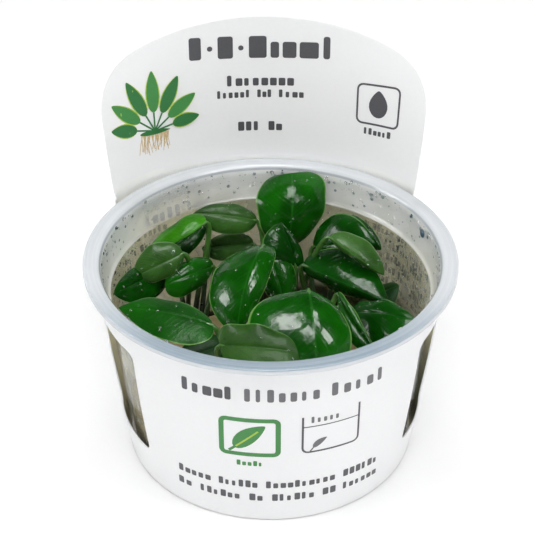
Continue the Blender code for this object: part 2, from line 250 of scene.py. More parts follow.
soft_box("over", (0.0, -0.3, 1.05), (0.9, 0.7), 7.9, seen=False)
soft_box("left", (-0.8, -0.2, 0.6), (0.5, 0.5), 2.2, seen=False)
soft_box("right", (0.8, -0.3, 0.5), (0.35, 0.5), 2.3, seen=False)
soft_box("front", (-0.1, -1.15, 0.35), (1.0, 0.5), 2.9, seen=False)
soft_box("backdrop", (0.0, 1.6, 1.5), (3.0, 1.4), 30.0, seen=False, aim=(0.0, 1.3, 0.0))
soft_box("shine_over", (0.0, -0.02, 1.1), (0.4, 0.5), 9.0, lights=False)
soft_box("shine_right", (0.42, -0.36, 0.95), (0.3, 0.36), 4.6, lights=False)
soft_box("shine_left", (-1.05, 0.0, 0.5), (0.6, 0.42), 9.0, lights=False)

WALLS_GLOW, CEILING_GLOW = 0.9, 0.04
GLOW_FADES_FROM, GLOW_FADES_TO = 0.02, 0.22
world = bpy.data.worlds.new("room")
world.use_nodes = True
background = world.node_tree.nodes["Background"]
sky = world.node_tree.nodes.new("ShaderNodeTexCoord")
rise = world.node_tree.nodes.new("ShaderNodeSeparateXYZ")
fade = world.node_tree.nodes.new("ShaderNodeMapRange")
fading = (GLOW_FADES_FROM, GLOW_FADES_TO, WALLS_GLOW, CEILING_GLOW)
for socket, value in zip(fade.inputs[1:5], fading):
    socket.default_value = value
world.node_tree.links.new(sky.outputs["Generated"], rise.inputs[0])
world.node_tree.links.new(rise.outputs["Z"], fade.inputs[0])
world.node_tree.links.new(fade.outputs[0], background.inputs["Strength"])
background.inputs["Color"].default_value = (1.0, 1.0, 1.0, 1.0)
scene.world = world

# %% [markdown]
# ## From a bmesh in millimetres to a piece
#
# Every piece ends the same way: its mesh is scaled to metres, smooth-shaded with its
# crisp edges kept, given its materials and set on the one body, and the imported parts it
# stands for are hidden.


# %% Finishing a piece
def finish_piece(name, bm, finishes, nodes=(), crisp=40.0):
    """Makes a bmesh a piece. Edges that turn by more than crisp degrees stay sharp."""
    bmesh.ops.scale(bm, vec=(MM, MM, MM), verts=bm.verts)
    mesh = bpy.data.meshes.new(name)
    bm.to_mesh(mesh)
    bm.free()
    mesh.shade_smooth()
    mesh.set_sharp_from_angle(angle=radians(crisp))
    for finish in finishes:
        mesh.materials.append(finish.material)
    piece = bpy.data.objects.new(name, mesh)
    scene.collection.objects.link(piece)
    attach(piece, "root")
    if nodes:
        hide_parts(*nodes)
    return piece


def turn_round(bm, profile, steps):
    """Spins a profile of (radius, height) round Z. Both of its ends are on the axis."""
    points = [bm.verts.new((radius, 0.0, height)) for radius, height in profile]
    for pair in zip(points, points[1:]):
        bm.edges.new(pair)
    geometry = list(bm.verts) + list(bm.edges)
    bmesh.ops.spin(bm, geom=geometry, cent=(0, 0, 0), axis=(0, 0, 1), dvec=(0, 0, 0),
                   angle=2 * pi, steps=steps, use_merge=True)
    bmesh.ops.remove_doubles(bm, verts=bm.verts, dist=0.001)
    bmesh.ops.recalc_face_normals(bm, faces=bm.faces)


# %% [markdown]
# ## The cup
#
# The cup is one thin moulding: a flat floor, a slightly tapered wall, a ledge for the
# foil lid, a short collar and a wide flange with a hanging lip. A turned profile is how
# its mould was made, so a spin is the honest way to model it. The imported cup has flat
# facets, which clear plastic would show, so it is spun again with many more steps.
#
# The thin wall is clear outside, and inside it is dulled by mist and by smears of gel. The
# flange and the collar are thicker and look milky. At the front the top of the flange is
# painted bluish grey: painted shade, from under the lip. Part of each finish is alpha, which
# lets light straight through, because a path tracer finds few lights through a bending wall.
# Low down, where the leaves keep the light off, the inside of the wall is painted dark, a
# little higher on the right. At the back left the collar is more see-through, so that the
# words printed on the card behind it can be made out.

# %% Cup sizes
WALL = 0.8
CUP_HEIGHT = RIM_HEIGHT / MM
FLANGE_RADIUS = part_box("cup")[1].x / MM
LEDGE_DROP = 9.2
LEDGE_RADIUS = 43.0
BASE_RADIUS = 39.0
COLLAR_RADIUS = 45.0
COLLAR_FOOT = 43.9
LEDGE = CUP_HEIGHT - LEDGE_DROP

print("ledge", round(LEDGE, 2), "mm above the base")

# %% Cup finishes
clear_plastic = Finish("clear_plastic", {
    "Base Color": (0.96, 0.975, 0.975), "Roughness": 0.05, "IOR": 1.45,
    "Transmission Weight": 0.96, "Alpha": 0.35})
clear_plastic.bump(clear_plastic.noise(400.0), 0.06, 0.0002)

COLLAR_EDGE = COLLAR_RADIUS * MM
milky_plastic = Finish("milky_plastic", {"IOR": 1.49, "Transmission Weight": 0.28})
mist = milky_plastic.steps(milky_plastic.noise(160.0, 4.0), 0.35, 0.65)
place = milky_plastic.place()
x, y, z = (milky_plastic.axis(place, name) for name in "XYZ")
radius = (x * x + y * y) ** 0.5
rings = milky_plastic.noise(1.0, 2.0, milky_plastic.node(
    "ShaderNodeCombineXYZ", None, {0: radius * 3000.0, 1: x * 12.0, 2: y * 12.0}))
on_top = milky_plastic.steps(z, RIM_HEIGHT - 0.0006, RIM_HEIGHT - 0.0002)
# Painted shade: at the front the top of the flange is mixed to bluish grey, for the shade under the lip that
# shows through the clear plastic.
shaded_front = milky_plastic.steps(0.0 - y, 0.012, 0.044)
white = milky_plastic.mix(mist, (0.90, 0.925, 0.88), (0.98, 0.985, 0.97))
lip = milky_plastic.mix(rings, (0.70, 0.735, 0.77), (0.86, 0.88, 0.90))
shade = milky_plastic.mix(rings, (0.20, 0.29, 0.36), (0.50, 0.59, 0.67))
rim = milky_plastic.mix(on_top * shaded_front * 0.9, lip, shade)
on_flange = milky_plastic.steps(radius, COLLAR_EDGE + 0.0002, COLLAR_EDGE + 0.0009)
seam = 1.0 - milky_plastic.steps(abs(radius - COLLAR_EDGE - 0.00055), 0.0001, 0.0003)
tone = milky_plastic.mix(on_flange, white, rim)
milky_plastic.show("Base Color", milky_plastic.mix(seam * 0.8, tone, (0.42, 0.46, 0.50)))
milky_plastic.show("Roughness", 0.08 + mist * 0.14)
thinner = milky_plastic.steps(0.0 - x, 0.006, 0.026) * milky_plastic.steps(y, 0.014, 0.030)
milky_plastic.show("Alpha", 0.8 - thinner * (1.0 - on_flange) * 0.45 + on_flange * 0.17)
milky_plastic.bump(milky_plastic.noise(1800.0, 1.0) + rings * 0.8, 0.15, 0.0002)

SHADE_SLANT = 0.25
misted_wall = Finish("misted_wall", {"IOR": 1.45, "Transmission Weight": 0.25})
damp = misted_wall.steps(misted_wall.noise(130.0, 5.0), 0.3, 0.7)
place = misted_wall.place()
slant = misted_wall.axis(place, "Z") - misted_wall.axis(place, "X") * SHADE_SLANT
above_shade = misted_wall.steps(slant + damp * 0.003, 0.018, 0.025)
mist_tone = misted_wall.mix(damp, (0.62, 0.61, 0.40), (0.88, 0.88, 0.72))
misted_wall.show("Base Color", misted_wall.mix(above_shade, (0.022, 0.026, 0.010), mist_tone))
misted_wall.show("Roughness", 0.08 + damp * 0.25)
misted_wall.show("Alpha", 1.0 - above_shade * (0.78 - damp * 0.22))
misted_wall.bump(misted_wall.noise(1500.0, 2.0), 0.2, 0.0002)
CUP_FINISHES = [clear_plastic, milky_plastic, misted_wall]
print("cup finishes:", [finish.material.name for finish in CUP_FINISHES])

# %% Cup shape
def wall_radius(height):
    """Inside radius of the wall between the floor and the ledge."""
    slope = (LEDGE_RADIUS + WALL - BASE_RADIUS) / LEDGE
    return BASE_RADIUS - WALL + slope * height


def collar_radius(height):
    """Inside radius of the collar above the ledge."""
    up = (height - LEDGE) / LEDGE_DROP
    return COLLAR_RADIUS - (COLLAR_RADIUS - COLLAR_FOOT) * max(0.0, 1.0 - 1.5 * up)


inner_profile = [
    (0.0, WALL), (wall_radius(WALL) - 1.4, WALL), (wall_radius(1.1) - 0.5, 1.1),
    (wall_radius(2.2), 2.2), (LEDGE_RADIUS - 0.03, LEDGE - 0.4), (LEDGE_RADIUS + 0.05, LEDGE - 0.1),
    (LEDGE_RADIUS + 0.25, LEDGE), (LEDGE_RADIUS + 0.4, LEDGE + 0.1), (COLLAR_FOOT, LEDGE + 0.9),
    (COLLAR_RADIUS, CUP_HEIGHT - 3.0), (COLLAR_RADIUS + 0.3, CUP_HEIGHT - 1.3),
    (COLLAR_RADIUS + 0.75, CUP_HEIGHT - 0.6), (COLLAR_RADIUS + 1.1, CUP_HEIGHT - 0.15),
    (COLLAR_RADIUS + 1.6, CUP_HEIGHT),
]
outer_profile = [
    (FLANGE_RADIUS - 1.6, CUP_HEIGHT), (FLANGE_RADIUS - 1.2, CUP_HEIGHT - 0.12),
    (FLANGE_RADIUS - 0.7, CUP_HEIGHT - 0.08), (FLANGE_RADIUS - 0.35, CUP_HEIGHT),
    (FLANGE_RADIUS - 0.08, CUP_HEIGHT - 0.15), (FLANGE_RADIUS, CUP_HEIGHT - 0.45),
    (FLANGE_RADIUS, CUP_HEIGHT - 1.5), (FLANGE_RADIUS - WALL, CUP_HEIGHT - 1.5),
    (FLANGE_RADIUS - WALL, CUP_HEIGHT - WALL - 0.2), (FLANGE_RADIUS - WALL - 0.4, CUP_HEIGHT - WALL),
    (COLLAR_RADIUS + WALL + 0.8, CUP_HEIGHT - WALL - 0.1), (COLLAR_RADIUS + WALL, CUP_HEIGHT - WALL - 0.9),
    (COLLAR_RADIUS + WALL - 0.1, CUP_HEIGHT - 3.0), (COLLAR_RADIUS - 0.1, LEDGE - 0.4),
    (LEDGE_RADIUS + WALL, LEDGE - 1.2), (wall_radius(1.6) + WALL, 1.6),
    (wall_radius(0.5) + WALL - 0.5, 0.45), (BASE_RADIUS - 1.4, 0.0), (0.0, 0.0),
]
CUP_STEPS = 144
CLEAR, MILKY, MISTED = range(len(CUP_FINISHES))
bm = bmesh.new()
turn_round(bm, inner_profile + outer_profile, CUP_STEPS)
for face in bm.faces:
    middle = face.calc_center_median()
    faces_in = face.normal.dot(Vector((middle.x, middle.y, 0.0))) < 0.0
    if middle.z > LEDGE - 0.3:
        face.material_index = MILKY
    elif faces_in and middle.z > 2.0:
        face.material_index = MISTED
    else:
        face.material_index = CLEAR
cup = finish_piece("cup_moulding", bm, CUP_FINISHES, ["cup"], 50.0)
print("cup:", len(cup.data.polygons), "faces")

# %% [markdown]
# ## The card sleeve
#
# The sleeve is one die-cut sheet. It hugs the cup, bellies out a little between base and
# rim, stands off the flange at the back and springs towards flat as it rises. A grid
# with one row for each step up and one column for each step round can be bent like the
# card itself, and `on_front` and `on_header` reuse it to lay the printing on the card.

# %% Card places
CARD = 0.4
CARD_RIM_RADIUS = 46.7
CARD_FOOT_RADIUS = 39.7
CARD_BARREL = 0.95
CARD_LOW = 0.3
BAND_TOP = 2.6
WINDOW_TOP = 11.2
WINDOW_FOOT = 45.8
WINDOW_CORNER = 2.6
WINDOW_LEFT = -50.4
WINDOW_RIGHT = 57.5
WINDOW_BACK = 86.0
HEADER_HALF = 47.4
HEADER_HEIGHT = 44.1
HEADER_ARCH = 84.4
HEADER_CORNER = 18.0
HEADER_STAND = 51.0
HEADER_BEND_RIM = 61.0
HEADER_BEND_TOP = 250.0
HEADER_LEAN = 0.04
HEADER_SHIFT = -1.2
HEADER_TURN = radians(0.9)
SHOULDER_END = 63.0
FLARE_FADE = 1.35


def card_radius(below):
    """Outer face of the card where it follows the cup, at a height from the rim."""
    down = -below / CUP_HEIGHT
    cone = CARD_RIM_RADIUS + (CARD_FOOT_RADIUS - CARD_RIM_RADIUS) * down
    return cone + 4.0 * CARD_BARREL * down * (1.0 - down)


def header_point(along, above, forward=0.0):
    """The header's back face, or a point that far in front of it."""
    up = above / HEADER_HEIGHT
    bend = (1.0 - up) / HEADER_BEND_RIM + up / HEADER_BEND_TOP
    x = sin(along * bend) * (1.0 / bend - forward)
    y = HEADER_STAND + HEADER_LEAN * above - (1.0 - cos(along * bend)) / bend
    y -= forward * cos(along * bend)
    turned_x = x * cos(HEADER_TURN) - y * sin(HEADER_TURN) + HEADER_SHIFT
    turned_y = x * sin(HEADER_TURN) + y * cos(HEADER_TURN)
    return Vector((turned_x, turned_y, CUP_HEIGHT + above))


def header_edge(along):
    """Height above the rim of the header's arched and round-cornered outline."""
    reach = HEADER_ARCH - HEADER_CORNER
    corner_middle = HEADER_HALF - HEADER_CORNER
    arch_middle = HEADER_HEIGHT - HEADER_ARCH
    corner_height = arch_middle + sqrt(reach ** 2 - corner_middle ** 2)
    along = abs(along)
    if along < corner_middle * HEADER_ARCH / reach:
        return arch_middle + sqrt(HEADER_ARCH ** 2 - along ** 2)
    inset = min(along - corner_middle, HEADER_CORNER)
    return corner_height + sqrt(HEADER_CORNER ** 2 - inset ** 2)


def foot_of_header(along):
    """(degrees from the back, how far the header stands off the cup) at the rim."""
    foot = header_point(along, 0.0)
    return degrees(atan2(foot.x, foot.y)), hypot(foot.x, foot.y) - card_radius(0.0)


HEADER_LEFT = foot_of_header(-HEADER_HALF)
HEADER_RIGHT = foot_of_header(HEADER_HALF)


def flare(angle, along):
    """How far the card stands off the cup at the rim, at an angle from the back."""
    if along is not None:
        return foot_of_header(along)[1]
    end_angle, end_flare = HEADER_LEFT if angle < 0.0 else HEADER_RIGHT
    past = (abs(angle) - abs(end_angle)) / (SHOULDER_END - abs(end_angle))
    past = min(max(past, 0.0), 1.0)
    return end_flare * (1.0 - past * past * (3.0 - 2.0 * past))


def card_point(angle, along, below, lift=0.0):
    """The card's outer face at an angle from the back, lifted outwards by lift."""
    rise = max(0.0, 1.0 + below / WINDOW_FOOT) ** FLARE_FADE
    radius = card_radius(below) + flare(angle, along) * rise + lift
    turn = radians(angle)
    return Vector((radius * sin(turn), radius * cos(turn), CUP_HEIGHT + below))


def on_front(across, below, lift):
    """A place on the front panel, in mm round from its middle and below the rim."""
    return card_point(180.0 - degrees(across / card_radius(below)), None, below, lift)


def on_header(along, above, lift):
    """A place on the header's printed face."""
    return header_point(along, above, CARD + lift)


# %% [markdown]
# The outline, the windows and the rounded corners come from the same grid: faces inside
# a window are deleted, and the corners left round the hole slide onto its rounded
# outline, as a cutting die would leave it.


# %% Card sheet
def spread(start, end, step):
    """Values from start to just before end, about one step apart."""
    count = max(1, round(abs(end - start) / step))
    return [start + (end - start) * i / count for i in range(count)]


def window_gap(turn, below):
    """How far a place is outside a window's rounded outline, and the nearest place on it.

    Well inside a window the nearest place isn't worked out, and None stands for it.
    """
    side = -1.0 if turn < 0.0 else 1.0
    front_edge = abs(WINDOW_LEFT) if turn < 0.0 else WINDOW_RIGHT
    to_mm = radians(1.0) * card_radius(-0.5 * (WINDOW_TOP + WINDOW_FOOT))
    middle = (0.5 * (front_edge + WINDOW_BACK), -0.5 * (WINDOW_TOP + WINDOW_FOOT))
    half = (0.5 * (WINDOW_BACK - front_edge) * to_mm - WINDOW_CORNER,
            0.5 * (WINDOW_FOOT - WINDOW_TOP) - WINDOW_CORNER)
    x = (abs(turn) - middle[0]) * to_mm
    y = below - middle[1]
    core = Vector((min(max(x, -half[0]), half[0]), min(max(y, -half[1]), half[1])))
    out = Vector((x, y)) - core
    if out.length < 0.001:
        return -WINDOW_CORNER, None
    edge = core + out.normalized() * WINDOW_CORNER
    place = (side * (middle[0] + edge.x / to_mm), middle[1] + edge.y)
    return out.length - WINDOW_CORNER, place


STEP = 1.3
step_angle = degrees(STEP / CARD_RIM_RADIUS)
header_columns, header_rows = 64, 34
columns = [(angle, None) for angle in spread(-180.0, HEADER_LEFT[0], step_angle)]
for i in range(header_columns + 1):
    along = HEADER_HALF * sin(0.5 * pi * (2.0 * i / header_columns - 1.0))
    columns.append((foot_of_header(along)[0], along))
columns += [(angle, None) for angle in spread(HEADER_RIGHT[0], 180.0, step_angle)[1:]]
columns.append((180.0, None))
band_rows = spread(CARD_LOW - CUP_HEIGHT, -BAND_TOP, STEP) + [-BAND_TOP]
last_band = len(band_rows) - 1

bm = bmesh.new()
wide, high = len(columns) - 1, last_band + header_rows
bmesh.ops.create_grid(bm, x_segments=wide, y_segments=high, size=0.5)
grid_place = {v: (round((v.co.x + 0.5) * wide), round((v.co.y + 0.5) * high)) for v in bm.verts}

waste = []
for face in bm.faces:
    column = min(grid_place[v][0] for v in face.verts)
    row = min(grid_place[v][1] for v in face.verts)
    if row >= last_band:
        if columns[column][1] is None or columns[column + 1][1] is None:
            waste.append(face)
    else:
        from_back = 0.5 * (columns[column][0] + columns[column + 1][0])
        from_front = from_back - 180.0 if from_back > 0.0 else from_back + 180.0
        gap, _ = window_gap(-from_front, 0.5 * (band_rows[row] + band_rows[row + 1]))
        if gap < 0.0:
            waste.append(face)
bmesh.ops.delete(bm, geom=waste, context="FACES")

for v in bm.verts:
    (from_back, along), row = columns[grid_place[v][0]], grid_place[v][1]
    if row > last_band:
        top = header_edge(along)
        above = -BAND_TOP + (top + BAND_TOP) * (row - last_band) / header_rows
        v.co = header_point(along, above) if above > 0.0 else card_point(from_back, along, above)
        continue
    below = band_rows[row]
    if v.is_boundary and 0 < row < last_band and along is None and abs(from_back) < 179.9:
        from_front = 180.0 - from_back if from_back > 0.0 else -180.0 - from_back
        _, edge = window_gap(from_front, below)
        from_back = 180.0 - edge[0] if edge[0] > 0.0 else -180.0 - edge[0]
        below = edge[1]
    v.co = card_point(from_back, along, below)
bmesh.ops.remove_doubles(bm, verts=bm.verts, dist=0.01)
bmesh.ops.recalc_face_normals(bm, faces=bm.faces)
front_face = min(bm.faces, key=lambda f: f.calc_center_median().y)
if front_face.normal.y > 0.0:
    bmesh.ops.reverse_faces(bm, faces=bm.faces)
print("card grid:", wide, "by", high, "less", len(waste), "faces")

# %% Card finishes
card_white = Finish("card_white", {"Specular IOR Level": 0.4})
fibre = card_white.noise(900.0, 3.0)
card_white.show("Base Color", card_white.mix(fibre, (0.845, 0.85, 0.86), (0.875, 0.88, 0.885)))
card_white.show("Roughness", 0.42 + fibre * 0.1)
card_white.bump(fibre, 0.06, 0.0002)

card_inside = Finish("card_inside", {"Specular IOR Level": 0.3, "Roughness": 0.7})
height = card_inside.axis(card_inside.place(), "Z")
# Painted shade: below the ledge the inside of the card is painted tan, with the warm cast of light thrown
# back by the gel. Only the band just under the rim keeps the card's own white.
clear_of_painted_shade = card_inside.steps(height, RIM_HEIGHT - 0.0105, RIM_HEIGHT - 0.001)
flecks = card_inside.noise(1300.0, 4.0)
tan = card_inside.mix(flecks, (0.80, 0.73, 0.50), (0.90, 0.85, 0.66))
card_inside.show("Base Color", card_inside.mix(clear_of_painted_shade, tan, (0.88, 0.89, 0.87)))
card_inside.bump(flecks, 0.1, 0.0003)
CARD_FINISHES = [card_white, card_inside]
print("card finishes:", [finish.material.name for finish in CARD_FINISHES])

# %% Card thickness
PRINTED_SIDE, CUP_SIDE = range(len(CARD_FINISHES))
sheet = list(bm.faces)
bmesh.ops.solidify(bm, geom=sheet, thickness=CARD)
bm.normal_update()
for face in bm.faces:
    middle = face.calc_center_median()
    inward = face.normal.dot(Vector((middle.x, middle.y, 0.0))) < -10.0
    face.material_index = CUP_SIDE if inward and middle.z < CUP_HEIGHT + 0.5 else PRINTED_SIDE
sleeve = finish_piece("card_sleeve_die_cut", bm, CARD_FINISHES, ["card_sleeve"], 50.0)
print("sleeve:", len(sleeve.data.polygons), "faces")

# %% [markdown]
# ## Printing on the card
#
# Ink is a skin a few hundredths of a millimetre thick. It could be painted by a mask in
# the card's finish, but flat shapes stay crisp at any distance. They are drawn in card
# millimetres, cut into narrow strips so that they can bend, given a little thickness, and
# wrapped on by the same functions that shaped the card. The words are left out: each row
# of them is a row of plain blocks. The signs are a leaf, a tank, a drop of water and a
# small plant.

# %% Inks
def ink(name, colour):
    """Offset ink, a little uneven, slightly glossier than the card."""
    made = Finish(name, {"Roughness": 0.38})
    darker = tuple(0.8 * c for c in colour)
    made.show("Base Color", made.mix(made.noise(1500.0, 3.0), darker, colour))
    return made


INKS = [
    ink("ink_grey", (0.085, 0.085, 0.095)), ink("ink_soft_grey", (0.16, 0.16, 0.17)),
    ink("ink_green", (0.055, 0.27, 0.065)), ink("ink_leaf", (0.03, 0.19, 0.05)),
    ink("ink_lime", (0.42, 0.60, 0.06)), ink("ink_tan", (0.66, 0.48, 0.24)),
]
GREY, SOFT_GREY, GREEN, LEAF_GREEN, LIME, TAN = range(len(INKS))
LAYER = 0.012
INK_LIFT, INK_THICK = 0.02, 0.03
print(len(INKS), "inks")


# %% Flat shapes
def flat_face(verts, colour, layer):
    """Gives the one face of a new flat shape its ink and its layer."""
    face = next(iter(verts[0].link_faces))
    face.material_index = colour
    for v in verts:
        v.co.z = layer * LAYER
    return face


def bar(flat, left, low, right, high, corner=0.0, colour=GREY):
    """An upright rectangle, with rounded corners if corner isn't 0."""
    before = set(flat.faces)
    verts = bmesh.ops.create_grid(flat, x_segments=1, y_segments=1, size=0.5)["verts"]
    bmesh.ops.scale(flat, vec=(right - left, high - low, 1.0), verts=verts)
    bmesh.ops.translate(flat, vec=(0.5 * (left + right), 0.5 * (low + high), 0.0), verts=verts)
    flat_face(verts, colour, 0)
    if corner:
        bmesh.ops.bevel(flat, geom=verts, offset=corner, offset_type="OFFSET", segments=4,
                        profile=0.5, affect="VERTICES", material=-1)
    return (set(flat.faces) - before).pop()


def outline(flat, left, low, right, high, corner, stroke, colour=GREY):
    """A round-cornered frame: a bar whose inside is cut away."""
    face = bar(flat, left, low, right, high, corner, colour)
    bmesh.ops.inset_region(flat, faces=[face], thickness=stroke, use_even_offset=True, use_boundary=True)
    bmesh.ops.delete(flat, geom=[face], context="FACES")


def line(flat, start, end, stroke, colour=GREY, layer=0):
    """A straight stroke between two places."""
    start, end = Vector((*start, 0.0)), Vector((*end, 0.0))
    verts = bmesh.ops.create_grid(flat, x_segments=1, y_segments=1, size=0.5)["verts"]
    turn = Matrix.Rotation(atan2(end.y - start.y, end.x - start.x), 4, "Z")
    size = Matrix.Diagonal((((end - start).length), stroke, 1.0, 1.0))
    place = Matrix.Translation(0.5 * (start + end))
    bmesh.ops.transform(flat, matrix=place @ turn @ size, verts=verts)
    flat_face(verts, colour, layer)


def drawn_leaf(flat, heel, tip, width, bend, colour, layer):
    """A circle drawn out to a point at one end and bent along its length."""
    heel, tip = Vector(heel), Vector(tip)
    span = tip - heel
    side = Vector((-span.y, span.x)).normalized()
    verts = bmesh.ops.create_circle(flat, cap_ends=True, segments=22, radius=1.0)["verts"]
    for v in verts:
        along = 0.5 + 0.5 * v.co.x
        across = v.co.y * (1.0 - 0.55 * along ** 3) * width
        place = heel + span * along + side * (across + bend * 4.0 * along * (1.0 - along))
        v.co = (place.x, place.y, 0.0)
    flat_face(verts, colour, layer)


LOW_LETTER = 0.72
TALL_LETTERS = 0.3


def word(flat, left, right, baseline, size, dice, colour=GREY, weight=0.62):
    """A run of plain upright blocks, about as many as a word of that width has letters."""
    count = max(1, round((right - left) / (LOW_LETTER * size)))
    pitch = (right - left) / count
    for i in range(count):
        tall = size if i == 0 or dice.random() < TALL_LETTERS else LOW_LETTER * size
        start = left + pitch * i
        wide = pitch * weight * dice.choice((0.75, 1.0, 1.15))
        bar(flat, start, baseline, start + wide, baseline + tall, 0.12 * size, colour)


def wrap(name, flat, place, strip):
    """Cuts flat shapes into strips, thickens them and lays them on the card."""
    for axis, normal in ((0, (1, 0, 0)), (1, (0, 1, 0))):
        step = strip * (1, 3)[axis]
        low = min(v.co[axis] for v in flat.verts)
        high = max(v.co[axis] for v in flat.verts)
        for i in range(1, int((high - low) / step) + 1):
            cut = [0.0, 0.0, 0.0]
            cut[axis] = low + i * step
            geometry = list(flat.verts) + list(flat.edges) + list(flat.faces)
            bmesh.ops.bisect_plane(flat, geom=geometry, dist=0.0001, plane_co=cut, plane_no=normal)
    top = bmesh.ops.extrude_face_region(flat, geom=list(flat.faces), use_keep_orig=True)["geom"]
    raised = [g for g in top if isinstance(g, bmesh.types.BMVert)]
    bmesh.ops.translate(flat, vec=(0, 0, INK_THICK), verts=raised)
    for v in flat.verts:
        v.co = place(v.co.x, v.co.y, INK_LIFT + v.co.z)
    bmesh.ops.recalc_face_normals(flat, faces=flat.faces)
    piece = finish_piece(name, flat, INKS, (), 30.0)
    print(name, len(piece.data.polygons), "faces")


# %% Front words
dice = random.Random(3)
TITLE_SIZE, TITLE_LINE = 4.3, -13.3
flat = bmesh.new()
word(flat, -23.3, -8.7, TITLE_LINE, TITLE_SIZE, dice, GREY, 0.72)
word(flat, -6.6, 13.6, TITLE_LINE, TITLE_SIZE, dice, SOFT_GREY, 0.5)
word(flat, 15.6, 32.2, TITLE_LINE, TITLE_SIZE, dice, SOFT_GREY, 0.5)
wrap("print_title", flat, on_front, 1.4)

SMALL_SIZE = 2.7
FRONT_LINES = (
    (-45.2, ((-25.7, -15.6), (-13.8, -3.0), (-1.2, 17.8), (19.8, 31.4))),
    (-50.4, ((-26.0, -21.2), (-19.2, -7.6), (-5.6, -1.4), (0.4, 12.2), (14.0, 18.2), (19.9, 31.4))),
)
flat = bmesh.new()
for baseline, words in FRONT_LINES:
    for left, right in words:
        word(flat, left, right, baseline, SMALL_SIZE, dice, GREY, 0.66)
wrap("print_lines", flat, on_front, 1.4)

# %% Leaf sign and tank sign
flat = bmesh.new()
outline(flat, -13.4, -33.0, 2.6, -19.2, 1.9, 1.35, GREEN)
drawn_leaf(flat, (-9.4, -30.0), (-1.4, -21.8), 2.7, 0.5, GREEN, 0)
line(flat, (-9.0, -29.6), (-3.2, -23.7), 0.5, LIME, 2)
line(flat, (-10.8, -31.4), (-8.8, -29.4), 0.8, GREEN)
word(flat, -8.8, -1.6, -36.6, 1.9, dice, GREEN, 0.6)
wrap("print_leaf_sign", flat, on_front, 1.4)

TANK = (8.2, -32.2, 23.6, -18.3)
TANK_STROKE = 0.55
TANK_CORNER = 1.6
TANK_WATER = -22.9
flat = bmesh.new()
left, low, right, high = TANK
line(flat, (left, low + TANK_CORNER), (left, high - 1.0), TANK_STROKE)
line(flat, (right, low + TANK_CORNER), (right, high), TANK_STROKE)
line(flat, (left + TANK_CORNER, low), (right - TANK_CORNER, low), TANK_STROKE)
for middle_x, start in ((left + TANK_CORNER, pi), (right - TANK_CORNER, 1.5 * pi)):
    for i in range(4):
        turns = [start + 0.5 * pi * (i + end) / 4 for end in (-0.08, 1.08)]
        ends = [(middle_x + TANK_CORNER * cos(a), low + TANK_CORNER + TANK_CORNER * sin(a)) for a in turns]
        line(flat, ends[0], ends[1], TANK_STROKE)
line(flat, (left, TANK_WATER), (right, TANK_WATER), 0.32)
word(flat, 10.4, 18.6, -21.6, 2.2, dice, SOFT_GREY, 0.45)
drawn_leaf(flat, (11.0, -30.6), (14.6, -27.6), 1.0, 0.3, SOFT_GREY, 0)
line(flat, (10.2, -31.9), (11.4, -30.2), 0.4, SOFT_GREY)
wrap("print_tank_sign", flat, on_front, 1.4)

# %% Header words and boxed drop
HEADER_TITLE = (
    (-21.0, 31.7, -17.6, 38.4), (-15.9, 34.1, -14.4, 35.6), (-12.9, 31.7, -8.6, 38.4),
    (-7.1, 34.1, -5.6, 35.6), (-4.1, 31.7, 0.9, 38.4), (2.0, 31.7, 4.4, 36.6),
    (5.4, 31.7, 9.3, 36.6), (10.2, 31.7, 15.6, 36.6), (16.9, 31.7, 18.8, 38.4),
)
HEADER_LINES = (
    (23.1, 3.3, ((-10.4, 9.2),)), (19.4, 2.4, ((-13.3, -3.4), (-1.8, 2.6), (4.4, 12.1))),
    (8.8, 2.9, ((-7.4, -0.6), (1.4, 5.8))),
)
flat = bmesh.new()
for left, low, right, high in HEADER_TITLE:
    bar(flat, left, low, right, high, 0.7)
for baseline, size, words in HEADER_LINES:
    for left, right in words:
        word(flat, left, right, baseline, size, dice, GREY, 0.68)
outline(flat, 26.8, 13.6, 39.6, 25.6, 1.8, 0.55)
drawn_leaf(flat, (33.2, 15.9), (33.2, 23.8), 2.9, 0.0, GREY, 0)
word(flat, 29.4, 37.8, 10.7, 1.9, dice, GREY, 0.66)
wrap("print_header", flat, on_header, 2.0)

# %% [markdown]
# The header also carries a small sign for a plant: a regular fan of leaves over a row of
# roots. Each leaf is laid in a printer's layers, a lime edge first and the green on top.

# %% Header drawing
PLANT_ROOT = Vector((-32.0, 12.5))
FAN_LEAVES, FAN_START, FAN_STEP = 7, 168.0, 26.0
DRAWN_ROOTS = 34
flat = bmesh.new()
for i in range(DRAWN_ROOTS):
    start = (-36.2 + 0.25 * i, 11.8)
    middle = (start[0] + dice.uniform(-1.0, 0.6), start[1] - dice.uniform(1.8, 3.2))
    end = (middle[0] + dice.uniform(-0.9, 0.7), middle[1] - dice.uniform(1.0, 3.2))
    line(flat, start, middle, 0.22, TAN, 1)
    line(flat, middle, end, 0.15, TAN, 1)
drawn_leaf(flat, (-36.6, 12.2), (-27.4, 12.2), 0.8, 0.0, LEAF_GREEN, 2)
for number in range(FAN_LEAVES):
    turn = radians(FAN_START - FAN_STEP * number)
    away = Vector((cos(turn), sin(turn)))
    heel = PLANT_ROOT + away * 5.5
    tip = PLANT_ROOT + away * (12.5 + 5.0 * sin(turn))
    layer = 3 + 3 * number
    line(flat, PLANT_ROOT, heel, 0.45, LEAF_GREEN, layer)
    drawn_leaf(flat, heel, tip, 2.2, 0.0, LIME, layer)
    drawn_leaf(flat, heel, tip, 1.9, 0.0, (LEAF_GREEN, GREEN)[number % 2], layer + 1)
wrap("print_plant_drawing", flat, on_header, 1.0)


